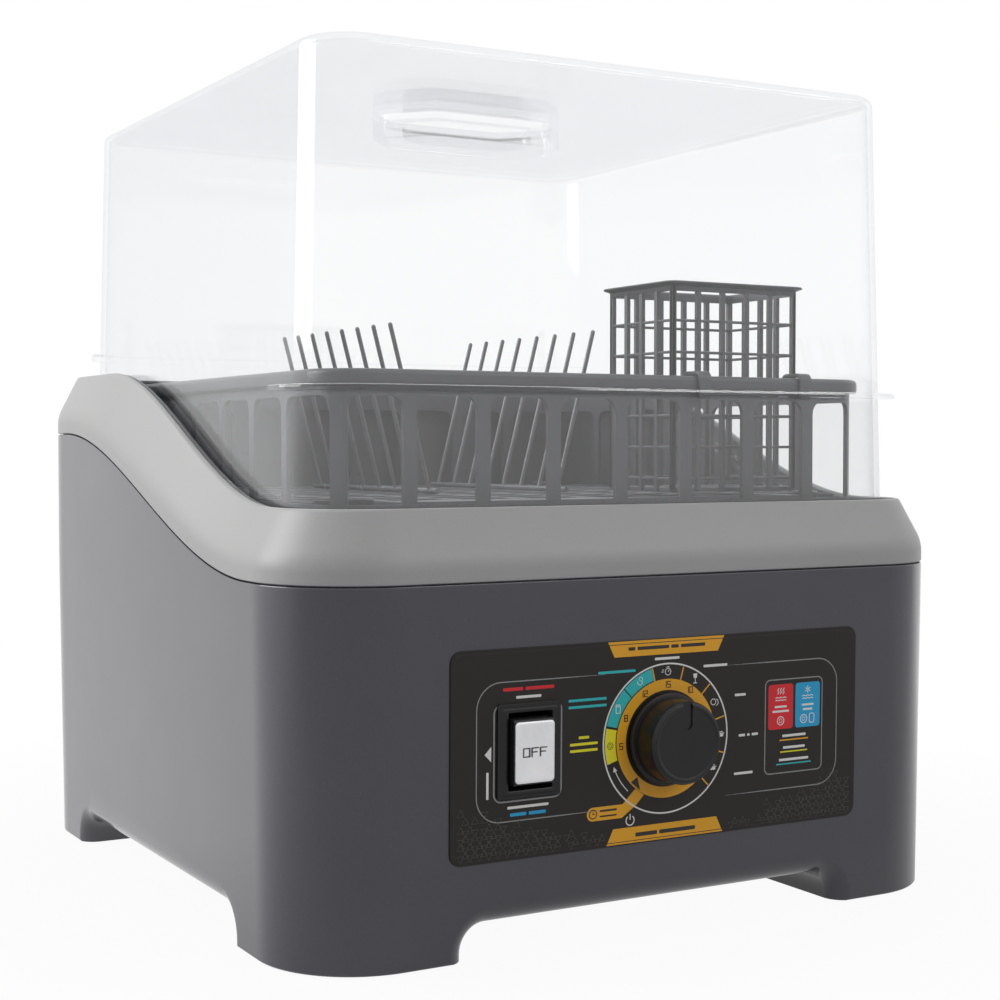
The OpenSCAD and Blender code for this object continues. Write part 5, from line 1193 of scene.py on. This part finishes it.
shine = f.fade(strands, 0.26, 0.38) + f.fade(f.noise(9.0, 2.0, 0.5), -0.02, 0.03)
tone = f.blend(strands, (0.86, 0.865, 0.875), (0.96, 0.96, 0.965))
dress(plate, f.surface(f.plain(tone, shine, Metallic=0.92, Normal=f.bump(strands, 0.18, 0.012))))
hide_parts("rocker_plate")
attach(plate, "rocker")

# The switch's word, printed on the plate.
strokes = {"O": [(0, 0, 0, 4), (3.4, 3.4, 0, 4), (0, 3.4, 0, 0), (0, 3.4, 4, 4)],
           "F": [(0, 0, 0, 4), (0, 3.4, 4, 4), (0, 2.7, 2.1, 2.1)]}
word, pen = [], 0.25
for k, mark in enumerate("OFF"):
    left, foot = switch_x - 6.4 + k * 4.7, switch_z - 2
    word += [bar(left + x0 - pen, left + x1 + pen, foot + z0 - pen, foot + z1 + pen)
             for x0, x1, z0, z1 in strokes[mark]]
printed("switch_word", word, (0.03, 0.03, 0.032), 7.46, "rocker")

# ---- Parts inside and behind ----
# Everything under the rack, under the tub and at the back keeps its own built shape. Each takes the
# finish of what it is made of, with the marks of its making.


def moulding(name, low, high, roughness, lump=18.0, grain=0.7):
    """Plain moulded plastic: two close tones in soft clouds, fine grain."""
    f = Finish(name)
    cloud, fine = f.noise(lump, 3.0, 0.55), f.noise(grain, 2.0, 0.6)
    return f.surface(f.plain(f.blend(cloud, low, high), f.fade(cloud, roughness - 0.04, roughness + 0.05),
                             Normal=f.bump(fine, 0.3, 0.03)))


def metal(name, low, high, roughness, stretch=(1000.0, 1000.0, 1000.0), cast=False):
    """Metal whose tone and gloss vary with its drawing, grinding or casting marks."""
    f = Finish(name)
    drawn = f.node("ShaderNodeTexNoise", None, f.spot(stretch), Scale=0.35, Detail=3.0, Roughness=0.6)
    marks = f.bump(f.noise(1.1, 3.0, 0.65), 0.35, 0.06) if cast else f.bump(drawn, 0.15, 0.015)
    return f.surface(f.plain(f.blend(drawn, low, high), f.fade(drawn, roughness - 0.05, roughness + 0.07),
                             Metallic=0.95, Normal=marks))


def rubbery(name, tone, roughness=0.62):
    """Matt rubber with a dusty bloom."""
    f = Finish(name)
    bloom = f.noise(12.0, 4.0, 0.65)
    colour = f.blend(bloom, (tone, tone, tone), (tone * 1.7, tone * 1.7, tone * 1.68), 0.4, 0.7)
    return f.surface(f.plain(colour, f.fade(bloom, roughness - 0.05, roughness + 0.08),
                             Normal=f.bump(f.noise(0.5), 0.3, 0.03)))


def banded(name, direction, scale, first, second, roughness, band=None, height=None, twist=0.0, **more):
    """Two tones in fine bands, as a mesh, windings or a wire's tracer show them."""
    f = Finish(name)
    bands = f.node("ShaderNodeTexWave", {"wave_type": "BANDS", "bands_direction": direction}, f.spot(),
                   Scale=scale, Distortion=twist)
    lump, low, high = roughness
    if height:
        more["Normal"] = f.bump(bands, *height)
    return f.surface(f.plain(f.blend(bands, first, second, *band) if band else f.mix(bands, first, second),
                             f.fade(f.noise(lump), low, high), **more))


for finish, names in (
        (moulding("cover_plastic", (0.020, 0.020, 0.022), (0.030, 0.030, 0.033), 0.48), "bottom_cover"),
        (rubbery("foot_rubber", 0.028), "foot_pads"),
        (rubbery("seal_rubber", 0.060, 0.5), "lid_seal sump_seal shaft_seal"),
        (rubbery("hose_rubber", 0.022, 0.5), "suction_pipe inlet_hose drain_hose"),
        (rubbery("gland_rubber", 0.018, 0.55), "cord_gland"),
        (metal("zinc_plate", (0.56, 0.56, 0.55), (0.70, 0.70, 0.70), 0.30),
         "casing_screws hose_clamps heater_clips"),
        (metal("ground_steel", (0.60, 0.60, 0.61), (0.72, 0.72, 0.73), 0.16, (1000.0, 1000.0, 9000.0)),
         "pump_shaft pump_bearings timer_shaft"),
        (moulding("spray_plastic", (0.23, 0.24, 0.25), (0.29, 0.30, 0.31), 0.36), "spray_arm spray_cap"),
        (moulding("column_plastic", (0.13, 0.135, 0.14), (0.18, 0.185, 0.19), 0.40),
         "spray_column sump drain_spigot"),
        (moulding("washer_plastic", (0.66, 0.64, 0.58), (0.75, 0.73, 0.68), 0.42), "thrust_washer"),
        (moulding("pump_plastic", (0.20, 0.205, 0.215), (0.27, 0.275, 0.285), 0.42, 10.0),
         "wash_pump_housing drain_pump_body"),
        (moulding("impeller_plastic", (0.58, 0.56, 0.49), (0.70, 0.68, 0.61), 0.38, 7.0),
         "pump_impeller drain_pump_impeller"),
        (moulding("valve_plastic", (0.70, 0.69, 0.64), (0.80, 0.79, 0.75), 0.34, 9.0),
         "inlet_valve fill_port float_switch timer_body"),
        (moulding("float_foam", (0.62, 0.60, 0.52), (0.74, 0.72, 0.65), 0.55, 4.0, 0.4), "level_float"),
        (moulding("terminal_plastic", (0.70, 0.67, 0.58), (0.80, 0.77, 0.69), 0.4, 8.0), "terminal_block"),
        (metal("cast_aluminium", (0.47, 0.48, 0.49), (0.60, 0.61, 0.62), 0.42, cast=True), "motor_can"),
        (metal("stacked_steel", (0.20, 0.20, 0.21), (0.34, 0.34, 0.35), 0.40, (1000.0, 14000.0, 1000.0)),
         "motor_rotor"),
        (metal("heater_sheath", (0.36, 0.34, 0.32), (0.52, 0.49, 0.46), 0.28, (1000.0, 1000.0, 5000.0)),
         "heater_element"),
        (metal("thermostat_cap", (0.56, 0.56, 0.55), (0.66, 0.66, 0.66), 0.35), "thermostat"),
        (metal("stamped_brass", (0.62, 0.43, 0.16), (0.76, 0.56, 0.25), 0.26, (1000.0, 1000.0, 7000.0)),
         "switch_terminals"),
        (moulding("fan_plastic", (0.020, 0.020, 0.022), (0.034, 0.034, 0.036), 0.4), "motor_fan"),
        (moulding("coil_plastic", (0.05, 0.13, 0.30), (0.08, 0.19, 0.40), 0.38, 7.0), "valve_coil"),
        (moulding("capacitor_case", (0.50, 0.50, 0.49), (0.62, 0.62, 0.61), 0.33, 14.0), "run_capacitor"),
        (banded("filter_plastic", "Z", 0.55, (0.20, 0.205, 0.215), (0.28, 0.285, 0.295), (8.0, 0.36, 0.46),
                (0.2, 0.8), (0.3, 0.05)), "filter_basket"),
        (banded("copper_windings", "DIAGONAL", 0.9, (0.34, 0.13, 0.05), (0.62, 0.30, 0.14), (3.0, 0.22, 0.36),
                height=(0.5, 0.10), twist=1.2, Metallic=0.85), "motor_stator"),
        (banded("wire_insulation", "DIAGONAL", 0.08, (0.42, 0.045, 0.03), (0.60, 0.55, 0.50),
                (5.0, 0.34, 0.46), (0.93, 0.97)), "wiring_harness")):
    for name in names.split():
        dress(nodes[name], finish)
